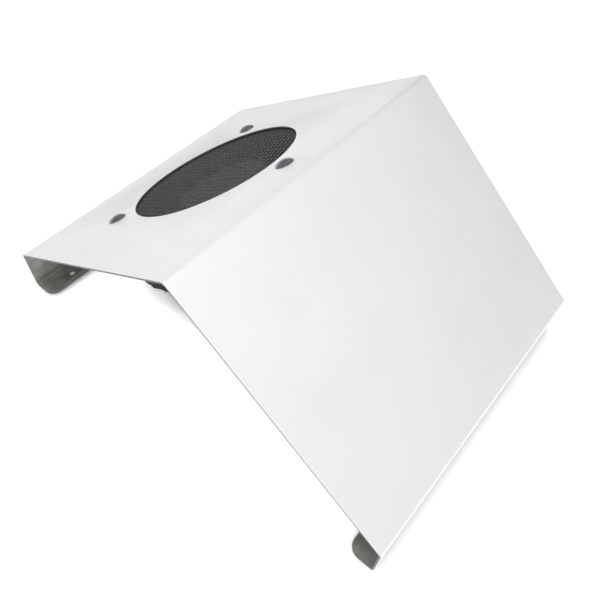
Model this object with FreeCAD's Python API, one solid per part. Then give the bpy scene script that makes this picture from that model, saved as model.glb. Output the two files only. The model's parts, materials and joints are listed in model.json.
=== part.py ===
import FreeCAD, Part
import math
import os
from FreeCAD import Placement, Rotation, Vector

# A table-top nail dust collector: a folded sheet-metal hood that stands over an axial fan, with a
# round mesh-covered intake in its top panel and a cloth dust bag on the fan's outlet.
# Millimetres. +X is the long slope's side (front), +Z is up, Z = 0 is the table.
# The origin is the centre of the footprint, on the table.

# ---------------------------------------------------------------- driving dimensions
# hood
SHEET = 1.5                     # sheet thickness
HOOD_WIDTH = 250.0              # along Y
TOP_LENGTH = 224.0              # top panel, back corner to ridge, along the panel
TOP_ANGLE = 33.7                # degrees above the table
SLOPE_LENGTH = 205.0            # ridge to front corner, along the slope
BACK_WALL_HEIGHT = 37.7         # foot underside to the back corner
FRONT_WALL_HEIGHT = 35.0        # foot underside to the front corner
FOOT_DEPTH = 21.0               # turned-in foot, measured from the wall's outside
FOOT_CORNER_RADIUS = 8.5
BEND_RADIUS = 1.5               # inside radius of the four lower bends
RIDGE_RADIUS = 2.5              # inside radius of the ridge bend
TABLE_HOLE_RADIUS = 2.25
TABLE_HOLE_FROM_WALL = 13.0
TABLE_HOLE_FROM_END = 26.0
PAD_HEIGHT = 2.0                # rubber pads under the feet
PAD_RADIUS = 5.0
PAD_FROM_END = 13.0
PAD_FROM_WALL = 11.0

# intake and mesh
MESH_LAP = 10.9                 # how far the mesh disc reaches behind the panel round the intake
MESH_THICKNESS = 1.2
MESH_LONG_WAY = 10.24           # diamond, along the width
MESH_SHORT_WAY = 4.31           # diamond, along the panel
MESH_STRAND = 1.0
MESH_RIM = 3.0                  # unpierced edge of the mesh disc
MESH_CLEARANCE = 0.4            # mesh disc to the bolts' necks
MESH_GROUP = 2                  # each opening made here spans this many diamonds each way

# fan fixing
BOLT_CIRCLE_RADIUS = 81.0
BOLT_COUNT = 3
BOLT_RADIUS = 2.5
BOLT_HEAD_RADIUS = 6.75
BOLT_HEAD_HEIGHT = 3.0
BOLT_LENGTH = 16.0
SQUARE_NECK = 5.0
NECK_CLEARANCE = 0.3
BOLT_CLEARANCE = 0.35
WASHER_RADIUS = 5.0
WASHER_THICKNESS = 1.0
NUT_FLATS = 8.0
NUT_HEIGHT = 5.0

# fan
FAN_RADIUS = 86.0
FAN_DEPTH = 41.0
FAN_OFFSET = 2.0                # fan centre, from the panel's middle towards the ridge
FLANGE_THICKNESS = 5.0
BARREL_WALL = 2.5
BARREL_LIP = 1.5                # flare at both mouths of the barrel
TIP_CLEARANCE = 1.2
STRUT_COUNT = 5
STRUT_WIDTH = 6.0
STRUT_DEPTH = 8.0
HUB_RADIUS = 37.0
HUB_THICKNESS = 4.0
BLADE_COUNT = 7
BLADE_THICKNESS = 1.8
BLADE_RISE = 1.0                # blades above the rotor can's top
BLADE_GAP = 3.0                 # blades above the struts
HUB_WALL = 2.5                  # impeller hub round the rotor can

# motor
SHAFT_RADIUS = 4.0
BEARING_RADIUS = 11.0
BEARING_WIDTH = 7.0
BALL_RADIUS = 1.98
BALL_COUNT = 7
TUBE_WALL = 2.0
TUBE_BELOW_CAN = 7.5            # bearing tube's end, below the rotor can's top
BOSS_RADIUS = 7.0
BOSS_GAP = 1.7                  # rotor boss above the bearing tube's end
BEARING_INSET = (3.0, 0.5)      # lower and upper bearing, from the tube's ends
STATOR_RADIUS = 31.0
STATOR_BELOW_TUBE = 7.5         # stator's top, below the bearing tube's end
TOOTH_COUNT = 8
TOOTH_WIDTH = 7.0
TOOTH_TIP = 3.0
YOKE_THICKNESS = 4.0
COIL_THICKNESS = 3.2
AIR_GAP = 0.6
CAGE_THICKNESS = 1.9
CAN_WALL = 1.5
CAN_TOP_DEPTH = 11.0            # rotor can's top, below the panel's outer face
ROTOR_RISE = 1.5                # rotor can's rim above the struts
STATOR_RISE = 2.2               # stator above the rotor can's rim

# outlet guard
GUARD_WIRE_RADIUS = 0.8
GUARD_RINGS = 5
GUARD_INNER_RADIUS = 18.0
GUARD_OUTER_RADIUS = 66.0
GUARD_EYE_RADIUS = 4.4
GUARD_SCREW_CIRCLE = 79.3       # radius
SCREW_RADIUS = 1.6
SCREW_HEAD_RADIUS = 3.5
SCREW_HEAD_HEIGHT = 2.4

# dust bag
BAG_CLOTH = 1.0
BAG_GAP = 0.3                   # cloth to fan rim
BAG_CUFF = 8.0                  # sleeve length
BAG_GRIP = 6.2                  # how far the sleeve reaches over the rim
BAG_FLOOR_GAP = 8.5             # bag underside above the table
BAG_OUTLINE_POINTS = 16
BAG_TAIL_GAP = 52.0             # bag's tail to the front foot's edge
BAG_TAIL_HALF = 70.0
BAG_TAIL_HEIGHT = 10.0
BAG_SECTIONS = (                # underside's share of the run, top's place past the rim, its share of the
    (0.26, 20.0, 0.87, 71.0),   # rim's rise, half width
    (0.56, 38.0, 0.66, 71.0),
    (0.81, 58.0, 0.38, 72.0),
)
ELASTIC_WIDTH = 4.5
ELASTIC_THICKNESS = 0.6

# mains inlet, rocker switch and earth screw in the back wall
INLET_FROM_END = 63.0
INLET_FLANGE = (50.0, 24.0, 3.0)      # along Y, along Z, thickness
INLET_BODY = (27.0, 19.4, 22.0)
INLET_CAVITY = (24.0, 16.0, 17.0)
INLET_SCREW_SPACING = 40.0
INLET_SCREW_RADIUS = 1.5
INLET_FIT = 0.3
PIN_SIZE = (2.0, 4.0)                 # along Y, along Z
PIN_SPACING = 14.0
PIN_RECESS = 4.6
SPADE = (6.3, 0.8, 8.0)
SWITCH_FROM_INLET = 44.0
SWITCH_BEZEL = (15.0, 21.0, 2.0)
SWITCH_BODY = (12.9, 19.0, 13.0)
SWITCH_CAVITY = (10.9, 18.0, 7.5)
ROCKER_HALF = 8.2
ROCKER_PROUD = 4.3                    # rocker's ends in front of its pivot
ROCKER_DISH = 1.5                     # hollow of the rocker's face
ROCKER_SIDE_GAP = 0.2
ROCKER_TILT = 10.0
TRUNNION_RADIUS = 1.0
TRUNNION_LENGTH = 0.6
TRUNNION_CLEARANCE = 0.08
EARTH_FROM_INLET = 38.0
EARTH_RADIUS = 2.0
BOOT = (8.0, 4.0, 12.0)
LEAD_RADIUS = 1.1
TERMINAL_ANGLE = 150.0                # fan terminal, round the fan from the ridge side
TERMINAL_HEIGHT = 26.0                # its middle, above the fan's outlet face
TERMINAL_SIZE = (20.0, 18.0)          # round the fan, along its axis
TERMINAL_SPACING = 10.0
PIN_DROP = 2.0                        # live and neutral pins below the inlet's middle, earth above it
PIVOT_DEPTH = 2.8                     # rocker pivot behind the bezel's face
CONTACT_SPACING = 7.0

# ---------------------------------------------------------------- derived sizes
slope = math.radians(TOP_ANGLE)
back_x = -TOP_LENGTH * math.cos(slope)
ridge_z = PAD_HEIGHT + BACK_WALL_HEIGHT + TOP_LENGTH * math.sin(slope)
slope_drop = ridge_z - PAD_HEIGHT - FRONT_WALL_HEIGHT
front_x = math.sqrt(SLOPE_LENGTH ** 2 - slope_drop ** 2)
half_width = HOOD_WIDTH / 2
inner_wall_x = back_x + SHEET

fan_from_ridge = TOP_LENGTH / 2 - FAN_OFFSET
fan_top = -(SHEET + MESH_THICKNESS)
fan_bottom = fan_top - FAN_DEPTH
barrel_outer = BOLT_CIRCLE_RADIUS - WASHER_RADIUS - 0.5
barrel_inner = barrel_outer - BARREL_WALL
blade_tip = barrel_inner - TIP_CLEARANCE
mesh_radius = BOLT_CIRCLE_RADIUS - SQUARE_NECK * math.sqrt(0.5) - MESH_CLEARANCE
intake_radius = mesh_radius - MESH_LAP
hub_top = fan_bottom + HUB_THICKNESS
tube_radius = BEARING_RADIUS + TUBE_WALL
can_top = -CAN_TOP_DEPTH
tube_top = can_top - TUBE_BELOW_CAN
cage_inner = STATOR_RADIUS + AIR_GAP
can_inner = cage_inner + CAGE_THICKNESS
can_outer = can_inner + CAN_WALL
can_bottom = fan_bottom + STRUT_DEPTH + ROTOR_RISE
stator_bottom = can_bottom + STATOR_RISE
stator_top = tube_top - STATOR_BELOW_TUBE
stator_height = stator_top - stator_bottom
bearing_lows = (hub_top + BEARING_INSET[0], tube_top - BEARING_INSET[1] - BEARING_WIDTH)
ball_circle = (SHAFT_RADIUS + BEARING_RADIUS) / 2
boss_bottom = tube_top + BOSS_GAP
blade_top = can_top + BLADE_RISE
blade_bottom = fan_bottom + STRUT_DEPTH + BLADE_GAP
blade_height = (blade_top + blade_bottom) / 2
blade_depth = blade_top - blade_bottom
impeller_hub = can_outer + HUB_WALL
terminal_low = fan_bottom + TERMINAL_HEIGHT - TERMINAL_SIZE[1] / 2
cuff_radius = FAN_RADIUS + BAG_GAP + BAG_CLOTH
cuff_top = fan_bottom + BAG_GRIP
cuff_bottom = cuff_top - BAG_CUFF

panel_turn = Rotation(Vector(0, 1, 0), -TOP_ANGLE)
fan_centre = Vector(-fan_from_ridge * math.cos(slope), 0, ridge_z - fan_from_ridge * math.sin(slope))
on_panel = Placement(fan_centre, panel_turn)      # local Z is the panel's outward normal, 0 its outer face

inlet_y = half_width - INLET_FROM_END
switch_y = inlet_y - SWITCH_FROM_INLET
earth_y = inlet_y + EARTH_FROM_INLET
service_z = PAD_HEIGHT + BACK_WALL_HEIGHT / 2     # height of the inlet's and the switch's centre
pivot_x = back_x - SWITCH_BEZEL[2] + PIVOT_DEPTH

UP = Vector(0, 0, 1)
Y_AXIS = Vector(0, 1, 0)


# ---------------------------------------------------------------- helpers
def rounded_wire(points, radii):
    """Closed wire through the points, with a tangent arc of the given radius at each corner."""
    edges = []
    ends = []
    for i, corner in enumerate(points):
        before = (points[i - 1] - corner).normalize()
        after = (points[(i + 1) % len(points)] - corner).normalize()
        if radii[i] == 0:
            ends.append((corner, corner))
            continue
        half = before.getAngle(after) / 2
        start = corner + before * (radii[i] / math.tan(half))
        finish = corner + after * (radii[i] / math.tan(half))
        middle = corner + (before + after).normalize() * (radii[i] / math.sin(half) - radii[i])
        edges.append(Part.Arc(start, middle, finish).toShape())
        ends.append((start, finish))
    for i in range(len(points)):
        edges.append(Part.LineSegment(ends[i - 1][1], ends[i][0]).toShape())
    return Part.Wire(Part.__sortEdges__(edges))


def offset_line(points, distance):
    """The open XZ polyline moved to its right by distance, with mitred corners."""
    normals = []
    for a, b in zip(points, points[1:]):
        along = (b - a).normalize()
        normals.append(Vector(along.z, 0, -along.x))
    moved = [points[0] + normals[0] * distance]
    for i in range(1, len(points) - 1):
        bisector = (normals[i - 1] + normals[i]).normalize()
        moved.append(points[i] + bisector * (distance / bisector.dot(normals[i])))
    moved.append(points[-1] + normals[-1] * distance)
    return moved


def block(size, centre):
    """A box of the given (x, y, z) size about its centre."""
    corner = Vector(*centre) - Vector(*size) * 0.5
    return Part.makeBox(size[0], size[1], size[2], corner)


def cylinder(radius, low, high, x=0.0, y=0.0):
    """A cylinder along Z between two heights."""
    return Part.makeCylinder(radius, high - low, Vector(x, y, low))


def ring(outer, inner, low, high, x=0.0, y=0.0):
    """A tube along Z between two heights."""
    return cylinder(outer, low, high, x, y).cut(cylinder(inner, low - 1, high + 1, x, y))


def turned(shape, angle, centre=Vector(0, 0, 0), axis=UP):
    """A copy of the shape turned about an axis."""
    copy = shape.copy()
    copy.rotate(centre, axis, angle)
    return copy


def around(shape, count, first=0.0):
    """Copies of the shape, evenly spaced about the Z axis."""
    return [turned(shape, first + i * 360.0 / count) for i in range(count)]


def revolved(profile):
    """A solid of revolution about Z from (radius, height) points."""
    points = [Vector(r, 0, z) for r, z in profile]
    return Part.Face(Part.makePolygon(points + points[:1])).revolve(Vector(0, 0, 0), UP, 360)


def united(shapes):
    """One solid from overlapping shapes."""
    return shapes[0].multiFuse(shapes[1:]).removeSplitter()


def placed(shape, placement):
    """A copy of the shape under a placement."""
    copy = shape.copy()
    copy.Placement = placement.multiply(copy.Placement)
    return copy


def tube(points, radius):
    """A bent tube along straight runs joined by arcs of 0.45 of the shorter run."""
    edges = []
    last = points[0]
    for i in range(1, len(points) - 1):
        back = points[i - 1] - points[i]
        ahead = points[i + 1] - points[i]
        reach = 0.45 * min(back.Length, ahead.Length)
        half = back.getAngle(ahead) / 2
        bend = reach * math.tan(half)
        back.normalize()
        ahead.normalize()
        start = points[i] + back * reach
        finish = points[i] + ahead * reach
        middle = points[i] + (back + ahead).normalize() * (bend / math.sin(half) - bend)
        edges.append(Part.LineSegment(last, start).toShape())
        edges.append(Part.Arc(start, middle, finish).toShape())
        last = finish
    edges.append(Part.LineSegment(last, points[-1]).toShape())
    path = Part.Wire(edges)
    section = Part.Wire(Part.makeCircle(radius, points[0], points[1] - points[0]))
    return path.makePipeShell([section], True, False, 1)


# ---------------------------------------------------------------- hood
def bolt_places(circle=BOLT_CIRCLE_RADIUS):
    """Places on a bolt circle, in the panel's frame; the first is on the ridge side."""
    angles = [2 * math.pi * i / BOLT_COUNT for i in range(BOLT_COUNT)]
    return [(circle * math.cos(angle), circle * math.sin(angle)) for angle in angles]


def foot_places(from_wall, from_end):
    """Four places on the feet, given their distances from the wall's outside and the open end."""
    y = half_width - from_end
    return [(x, side * y) for x in (back_x + from_wall, front_x - from_wall) for side in (-1, 1)]


def hood_shell():
    outer = [
        Vector(back_x + FOOT_DEPTH, 0, PAD_HEIGHT),
        Vector(back_x, 0, PAD_HEIGHT),
        Vector(back_x, 0, PAD_HEIGHT + BACK_WALL_HEIGHT),
        Vector(0, 0, ridge_z),
        Vector(front_x, 0, PAD_HEIGHT + FRONT_WALL_HEIGHT),
        Vector(front_x, 0, PAD_HEIGHT),
        Vector(front_x - FOOT_DEPTH, 0, PAD_HEIGHT),
    ]
    inner = offset_line(outer, SHEET)
    bends = [0, BEND_RADIUS, BEND_RADIUS, RIDGE_RADIUS, BEND_RADIUS, BEND_RADIUS, 0]
    outer_radii = [r + SHEET if r else 0 for r in bends]
    profile = rounded_wire(outer + inner[::-1], outer_radii + bends[::-1])
    profile.translate(Vector(0, -half_width, 0))
    shell = Part.Face(profile).extrude(Vector(0, HOOD_WIDTH, 0))
    corner_x = (back_x + FOOT_DEPTH, front_x - FOOT_DEPTH)
    corners = [
        edge for edge in shell.Edges
        if abs(edge.BoundBox.ZLength - SHEET) < 0.01 and edge.BoundBox.ZMax < PAD_HEIGHT + SHEET + 0.01
        and min(abs(edge.BoundBox.XMin - x) for x in corner_x) < 0.01
    ]
    shell = shell.makeFillet(FOOT_CORNER_RADIUS, corners)
    neck = SQUARE_NECK + NECK_CLEARANCE
    cutters = [placed(cylinder(intake_radius, -3 * SHEET, 3 * SHEET), on_panel)]
    cutters += [placed(block((neck, neck, 6 * SHEET), (x, y, 0)), on_panel) for x, y in bolt_places()]
    for x, y in foot_places(TABLE_HOLE_FROM_WALL, TABLE_HOLE_FROM_END):
        cutters.append(cylinder(TABLE_HOLE_RADIUS, 0, PAD_HEIGHT + 2 * SHEET, x, y))
    wall_cut = 6 * SHEET
    cutters.append(block((wall_cut, INLET_BODY[0] + INLET_FIT, INLET_BODY[1] + INLET_FIT),
                         (back_x, inlet_y, service_z)))
    cutters.append(block((wall_cut, SWITCH_BODY[0] + INLET_FIT, SWITCH_BODY[1] + INLET_FIT),
                         (back_x, switch_y, service_z)))
    for y, radius in ((inlet_y - INLET_SCREW_SPACING / 2, INLET_SCREW_RADIUS + 0.15),
                      (inlet_y + INLET_SCREW_SPACING / 2, INLET_SCREW_RADIUS + 0.15),
                      (earth_y, EARTH_RADIUS + 0.15)):
        cutters.append(wall_rod(radius, wall_cut, y, wall_cut / 2))
    return shell.cut(Part.makeCompound(cutters))


def wall_rod(radius, length, y, outside):
    """A rod through the back wall at service height, from `outside` mm outside the wall, going in."""
    return Part.makeCylinder(radius, length, Vector(back_x - outside, y, service_z), Vector(1, 0, 0))


def rubber_pads():
    pads = []
    for x, y in foot_places(PAD_FROM_WALL, PAD_FROM_END):
        pad = cylinder(PAD_RADIUS, 0, PAD_HEIGHT, x, y)
        rim = [e for e in pad.Edges if e.BoundBox.ZMax < 0.01]
        pads.append(pad.makeChamfer(PAD_HEIGHT / 4, rim))
    return Part.makeCompound(pads)


# ---------------------------------------------------------------- intake
def intake_mesh():
    """Expanded-metal disc: staggered diamond holes, the long way across the hood."""
    short_way = MESH_SHORT_WAY * MESH_GROUP
    long_way = MESH_LONG_WAY * MESH_GROUP
    half_short = short_way / 2 - MESH_STRAND * 0.55
    half_long = long_way / 2 - MESH_STRAND * 1.3
    limit = mesh_radius - MESH_RIM
    columns = int(limit / (long_way / 2)) + 1
    rows = int(limit / short_way) + 1
    wires = [Part.Wire(Part.makeCircle(mesh_radius))]
    for column in range(-columns, columns + 1):
        for row in range(-rows, rows + 1):
            x = (row + 0.5 * (column % 2)) * short_way
            y = column * long_way / 2
            corners = [Vector(x - half_short, y, 0), Vector(x, y - half_long, 0),
                       Vector(x + half_short, y, 0), Vector(x, y + half_long, 0)]
            if max(corner.Length for corner in corners) < limit:
                wires.append(Part.makePolygon(corners + corners[:1]))
    face = Part.Face(wires, "Part::FaceMakerBullseye")
    face.translate(Vector(0, 0, fan_top))
    return placed(face.extrude(Vector(0, 0, MESH_THICKNESS)), on_panel)


def sealing_ring():
    gasket = ring(FAN_RADIUS, mesh_radius + 0.1, fan_top, -SHEET)
    for x, y in bolt_places():
        gasket = gasket.cut(cylinder(SQUARE_NECK * math.sqrt(0.5) + 0.1, fan_top - 1, 0, x, y))
    return placed(gasket, on_panel)


def fan_bolts():
    """Domed square-neck bolts."""
    bolts = []
    ball = (BOLT_HEAD_RADIUS ** 2 + BOLT_HEAD_HEIGHT ** 2) / (2 * BOLT_HEAD_HEIGHT)
    for x, y in bolt_places():
        head = Part.makeSphere(ball, Vector(x, y, BOLT_HEAD_HEIGHT - ball))
        head = head.common(cylinder(BOLT_HEAD_RADIUS, 0, BOLT_HEAD_HEIGHT, x, y))
        neck_depth = -fan_top - 0.1
        neck = block((SQUARE_NECK, SQUARE_NECK, neck_depth), (x, y, -neck_depth / 2))
        shank = cylinder(BOLT_RADIUS, -BOLT_LENGTH, 0, x, y)
        bolts.append(united([head, neck, shank]))
    return placed(Part.makeCompound(bolts), on_panel)


def fan_washers():
    top = fan_top - FLANGE_THICKNESS
    washers = [ring(WASHER_RADIUS, BOLT_RADIUS + 0.1, top - WASHER_THICKNESS, top, x, y)
               for x, y in bolt_places()]
    return placed(Part.makeCompound(washers), on_panel)


def hexagon(flats, low, high, x, y, turn=0.0):
    """A hexagonal prism along Z."""
    radius = flats / math.sqrt(3)
    corners = []
    for i in range(6):
        angle = math.radians(turn + 60 * i)
        corners.append(Vector(x + radius * math.cos(angle), y + radius * math.sin(angle), low))
    return Part.Face(Part.makePolygon(corners + corners[:1])).extrude(Vector(0, 0, high - low))


def fan_nuts():
    """Self-locking nuts: a hexagon with a round collar for its nylon ring."""
    top = fan_top - FLANGE_THICKNESS - WASHER_THICKNESS
    collar = NUT_HEIGHT * 0.25
    nuts = []
    for x, y in bolt_places():
        nut = hexagon(NUT_FLATS, top - NUT_HEIGHT + collar, top, x, y)
        nut = nut.fuse(cylinder(NUT_FLATS * 0.46, top - NUT_HEIGHT, top, x, y))
        nuts.append(nut.cut(cylinder(BOLT_RADIUS, top - NUT_HEIGHT - 1, top + 1, x, y)))
    return placed(Part.makeCompound(nuts), on_panel)


# ---------------------------------------------------------------- fan
def fan_housing():
    barrel = revolved([
        (barrel_inner + BARREL_LIP, fan_top),
        (FAN_RADIUS, fan_top),
        (FAN_RADIUS, fan_top - FLANGE_THICKNESS),
        (barrel_outer, fan_top - FLANGE_THICKNESS),
        (barrel_outer, fan_bottom + FLANGE_THICKNESS),
        (FAN_RADIUS, fan_bottom + FLANGE_THICKNESS),
        (FAN_RADIUS, fan_bottom),
        (barrel_inner + BARREL_LIP, fan_bottom),
        (barrel_inner, fan_bottom + BARREL_LIP),
        (barrel_inner, fan_top - BARREL_LIP),
    ])
    hub = cylinder(HUB_RADIUS, fan_bottom, hub_top)
    reach = barrel_inner + BARREL_WALL / 2
    strut = block((reach - HUB_RADIUS + 3, STRUT_WIDTH, STRUT_DEPTH),
                  ((reach + HUB_RADIUS - 3) / 2, 0, fan_bottom + STRUT_DEPTH / 2))
    casting = united([barrel, hub] + around(strut, STRUT_COUNT, TERMINAL_ANGLE))
    holes = [cylinder(tube_radius / 2, fan_bottom - 1, hub_top + 1)]
    for x, y in bolt_places():
        hole = BOLT_RADIUS + BOLT_CLEARANCE
        holes.append(cylinder(hole, fan_top - FLANGE_THICKNESS - 1, fan_top + 1, x, y))
    for x, y in bolt_places(GUARD_SCREW_CIRCLE):
        holes.append(cylinder(SCREW_RADIUS, fan_bottom - 1, fan_bottom + FLANGE_THICKNESS + 1, x, y))
    return placed(casting.cut(Part.makeCompound(holes)), on_panel)


def blade_section(radius, chord, stagger, camber):
    """A curved plate's outline, on the plane at the given radius along local X."""
    angle = math.radians(stagger)
    along = Vector(0, math.cos(angle), -math.sin(angle))
    across = Vector(0, math.sin(angle), math.cos(angle))
    middle = Vector(radius, 0, blade_height)
    lead = middle - along * (chord / 2)
    trail = middle + along * (chord / 2)
    over = across * (camber + BLADE_THICKNESS / 2)
    under = across * (camber - BLADE_THICKNESS / 2)
    edge = across * (BLADE_THICKNESS * 0.35)
    return Part.Wire([
        Part.Arc(lead + edge, middle + over, trail + edge).toShape(),
        Part.LineSegment(trail + edge, trail - edge).toShape(),
        Part.Arc(trail - edge, middle + under, lead - edge).toShape(),
        Part.LineSegment(lead - edge, lead + edge).toShape(),
    ])


def impeller():
    """Hub ring pressed over the rotor can, with twisted blades."""
    sections = []
    for share, stagger, camber in ((-0.12, 52, 4.0), (0.5, 38, 4.5), (1.06, 29, 4.0)):
        radius = impeller_hub + share * (blade_tip - impeller_hub)
        chord = (blade_depth - 3.0) / math.sin(math.radians(stagger))
        sections.append(blade_section(radius, chord, stagger, camber))
    blade = Part.makeLoft(sections, True, False)
    blade = blade.common(ring(blade_tip, impeller_hub - 1, blade_bottom - 2, blade_top + 2))
    hub = ring(impeller_hub, can_outer, can_bottom, can_top)
    return placed(united([hub] + around(blade, BLADE_COUNT)), on_panel)


def fan_terminal():
    """Terminal block in the groove of the housing, and its two blade contacts."""
    inner = barrel_outer + 0.1
    outer = FAN_RADIUS - 1
    wide, tall = TERMINAL_SIZE
    middle = terminal_low + tall / 2
    body = block((outer - inner, wide, tall), ((outer + inner) / 2, 0, middle))
    body = body.cut(cylinder(inner, terminal_low - 1, terminal_low + tall + 1))
    spade_start = FAN_RADIUS - 6
    spades = []
    for side in (-1, 1):
        spades.append(block((SPADE[2] + 5, SPADE[1], SPADE[0]),
                            (spade_start + (SPADE[2] + 5) / 2, side * TERMINAL_SPACING / 2, middle)))
    pins = Part.makeCompound(spades)
    body = body.cut(pins)
    place = on_panel.multiply(Placement(Vector(0, 0, 0), Rotation(UP, TERMINAL_ANGLE)))
    return placed(body, place), placed(pins, place)


def outlet_guard():
    wire_z = fan_bottom - GUARD_WIRE_RADIUS - 0.1
    ring_z = wire_z - GUARD_WIRE_RADIUS * 1.75
    step = (GUARD_OUTER_RADIUS - GUARD_INNER_RADIUS) / (GUARD_RINGS - 1)
    pieces = [Part.makeTorus(GUARD_INNER_RADIUS + i * step, GUARD_WIRE_RADIUS, Vector(0, 0, ring_z))
              for i in range(GUARD_RINGS)]
    eye_thickness = 2 * GUARD_WIRE_RADIUS + 0.2
    spoke_start = GUARD_INNER_RADIUS * 0.65
    for i, (x, y) in enumerate(bolt_places(GUARD_SCREW_CIRCLE)):
        spoke = Part.makeCylinder(GUARD_WIRE_RADIUS, GUARD_SCREW_CIRCLE - spoke_start - SCREW_RADIUS - 1,
                                  Vector(spoke_start, 0, wire_z), Vector(1, 0, 0))
        pieces.append(turned(spoke, i * 360.0 / BOLT_COUNT))
        eye_hole = SCREW_RADIUS + 0.2
        pieces.append(ring(GUARD_EYE_RADIUS, eye_hole, fan_bottom - eye_thickness, fan_bottom, x, y))
    return placed(united(pieces), on_panel)


def guard_screws():
    head_top = fan_bottom - 2 * GUARD_WIRE_RADIUS - 0.2
    screws = []
    for x, y in bolt_places(GUARD_SCREW_CIRCLE):
        head = cylinder(SCREW_HEAD_RADIUS, head_top - SCREW_HEAD_HEIGHT, head_top, x, y)
        rim = [e for e in head.Edges if e.BoundBox.ZMax < head_top - SCREW_HEAD_HEIGHT + 0.01]
        head = head.makeFillet(SCREW_HEAD_HEIGHT * 0.45, rim)
        slot_z = head_top - SCREW_HEAD_HEIGHT
        shank = cylinder(SCREW_RADIUS, head_top - 0.1, fan_bottom + FLANGE_THICKNESS - 0.5, x, y)
        screw = head.fuse(shank)
        for size in ((3.6, 0.9, 2.4), (0.9, 3.6, 2.4)):
            screw = screw.cut(block(size, (x, y, slot_z)))
        screws.append(screw)
    return placed(Part.makeCompound(screws), on_panel)


# ---------------------------------------------------------------- motor
def bearing_tube():
    tube_shape = ring(tube_radius, BEARING_RADIUS, hub_top, tube_top)
    return placed(tube_shape, on_panel)


def bearings():
    """Two ball bearings: their outer races, inner races and balls."""
    outer, inner, balls = [], [], []
    for low in bearing_lows:
        middle = low + BEARING_WIDTH / 2
        groove = Part.makeTorus(ball_circle, BALL_RADIUS + 0.05, Vector(0, 0, middle))
        outer.append(ring(BEARING_RADIUS, ball_circle + 1.6, low, low + BEARING_WIDTH).cut(groove))
        inner.append(ring(ball_circle - 1.6, SHAFT_RADIUS, low, low + BEARING_WIDTH).cut(groove))
        balls += around(Part.makeSphere(BALL_RADIUS, Vector(ball_circle, 0, middle)), BALL_COUNT)
    return [placed(Part.makeCompound(group), on_panel) for group in (outer, inner, balls)]


def stator_core():
    yoke = ring(tube_radius + YOKE_THICKNESS, tube_radius, stator_bottom, stator_top)
    tooth = block((STATOR_RADIUS - tube_radius, TOOTH_WIDTH, stator_height),
                  ((STATOR_RADIUS + tube_radius) / 2 + 1, 0, (stator_bottom + stator_top) / 2))
    tip = ring(STATOR_RADIUS, STATOR_RADIUS - TOOTH_TIP, stator_bottom, stator_top)
    slot = block((8, 3.0, stator_height + 2), (STATOR_RADIUS, 0, (stator_bottom + stator_top) / 2))
    core = united([yoke, tip] + around(tooth, TOOTH_COUNT))
    core = core.cut(cylinder(tube_radius, stator_bottom, stator_top))
    core = core.common(cylinder(STATOR_RADIUS, stator_bottom, stator_top))
    return placed(core.cut(Part.makeCompound(around(slot, TOOTH_COUNT, 180.0 / TOOTH_COUNT))), on_panel)


def stator_windings():
    """A coil round each stator tooth, between the yoke and the tooth tip."""
    inner_end = tube_radius + YOKE_THICKNESS + 0.3
    room = inner_end * math.tan(math.pi / TOOTH_COUNT) - TOOTH_WIDTH / 2
    side = min(COIL_THICKNESS, room)
    outer_end = math.sqrt((STATOR_RADIUS - TOOTH_TIP - 0.3) ** 2 - (TOOTH_WIDTH / 2 + side) ** 2)
    length = outer_end - inner_end
    middle = ((inner_end + outer_end) / 2, 0, (stator_bottom + stator_top) / 2)
    coil = block((length, TOOTH_WIDTH + 2 * side, stator_height + 2 * COIL_THICKNESS), middle)
    long_edges = [e for e in coil.Edges if e.BoundBox.XLength > length - 0.01]
    coil = coil.makeFillet(side * 0.8, long_edges)
    coil = coil.cut(block((length + 2, TOOTH_WIDTH + 0.1, stator_height + 0.1), middle))
    return placed(Part.makeCompound(around(coil, TOOTH_COUNT)), on_panel)


def shaft():
    low = hub_top + 0.7
    rod = cylinder(SHAFT_RADIUS, low, can_top - 0.5)
    groove = ring(SHAFT_RADIUS + 1, SHAFT_RADIUS - 0.5, low + 1.2, low + 2.1)
    return placed(rod.cut(groove), on_panel)


def shaft_circlip():
    low = hub_top + 0.7 + 1.25
    clip = ring(SHAFT_RADIUS + 1.6, SHAFT_RADIUS - 0.5, low, low + 0.8)
    return placed(clip.cut(block((4, 2.4, 3), (SHAFT_RADIUS + 1, 0, low))), on_panel)


def rotor_can():
    """Steel cup with the boss that grips the shaft."""
    cup = revolved([
        (0, can_top), (can_outer, can_top), (can_outer, can_bottom), (can_inner, can_bottom),
        (can_inner, can_top - CAN_WALL), (BOSS_RADIUS, can_top - CAN_WALL),
        (BOSS_RADIUS, boss_bottom), (0, boss_bottom),
    ])
    rim = [e for e in cup.Edges
           if abs(e.BoundBox.ZMin - can_top) < 0.01 and e.BoundBox.XLength > 2 * can_outer - 0.1]
    cup = cup.makeFillet(CAN_WALL * 0.8, rim)
    return placed(cup.cut(cylinder(SHAFT_RADIUS, boss_bottom - 1, can_top - 0.5)), on_panel)


def rotor_cage():
    return placed(ring(can_inner, cage_inner, stator_bottom - 2, stator_top + 2), on_panel)


# ---------------------------------------------------------------- dust bag
def bag_section(low, high, half_bag, inset):
    """An ellipse across the bag between a low and a high point in the XZ plane."""
    across = (high - low).normalize()
    centre = (low + high) * 0.5
    half_height = (high - low).Length / 2 - inset
    half_across = half_bag - inset
    points = []
    for i in range(BAG_OUTLINE_POINTS):
        angle = 2 * math.pi * i / BAG_OUTLINE_POINTS
        points.append(centre + across * (half_height * math.cos(angle))
                      + Y_AXIS * (half_across * math.sin(angle)))
    curve = Part.BSplineCurve()
    curve.interpolate(points, PeriodicFlag=True)
    return Part.Wire(curve.toShape())


def panel_point(x, y, z):
    """A point of the panel's frame, in the hood's frame."""
    return on_panel.multVec(Vector(x, y, z))


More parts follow.
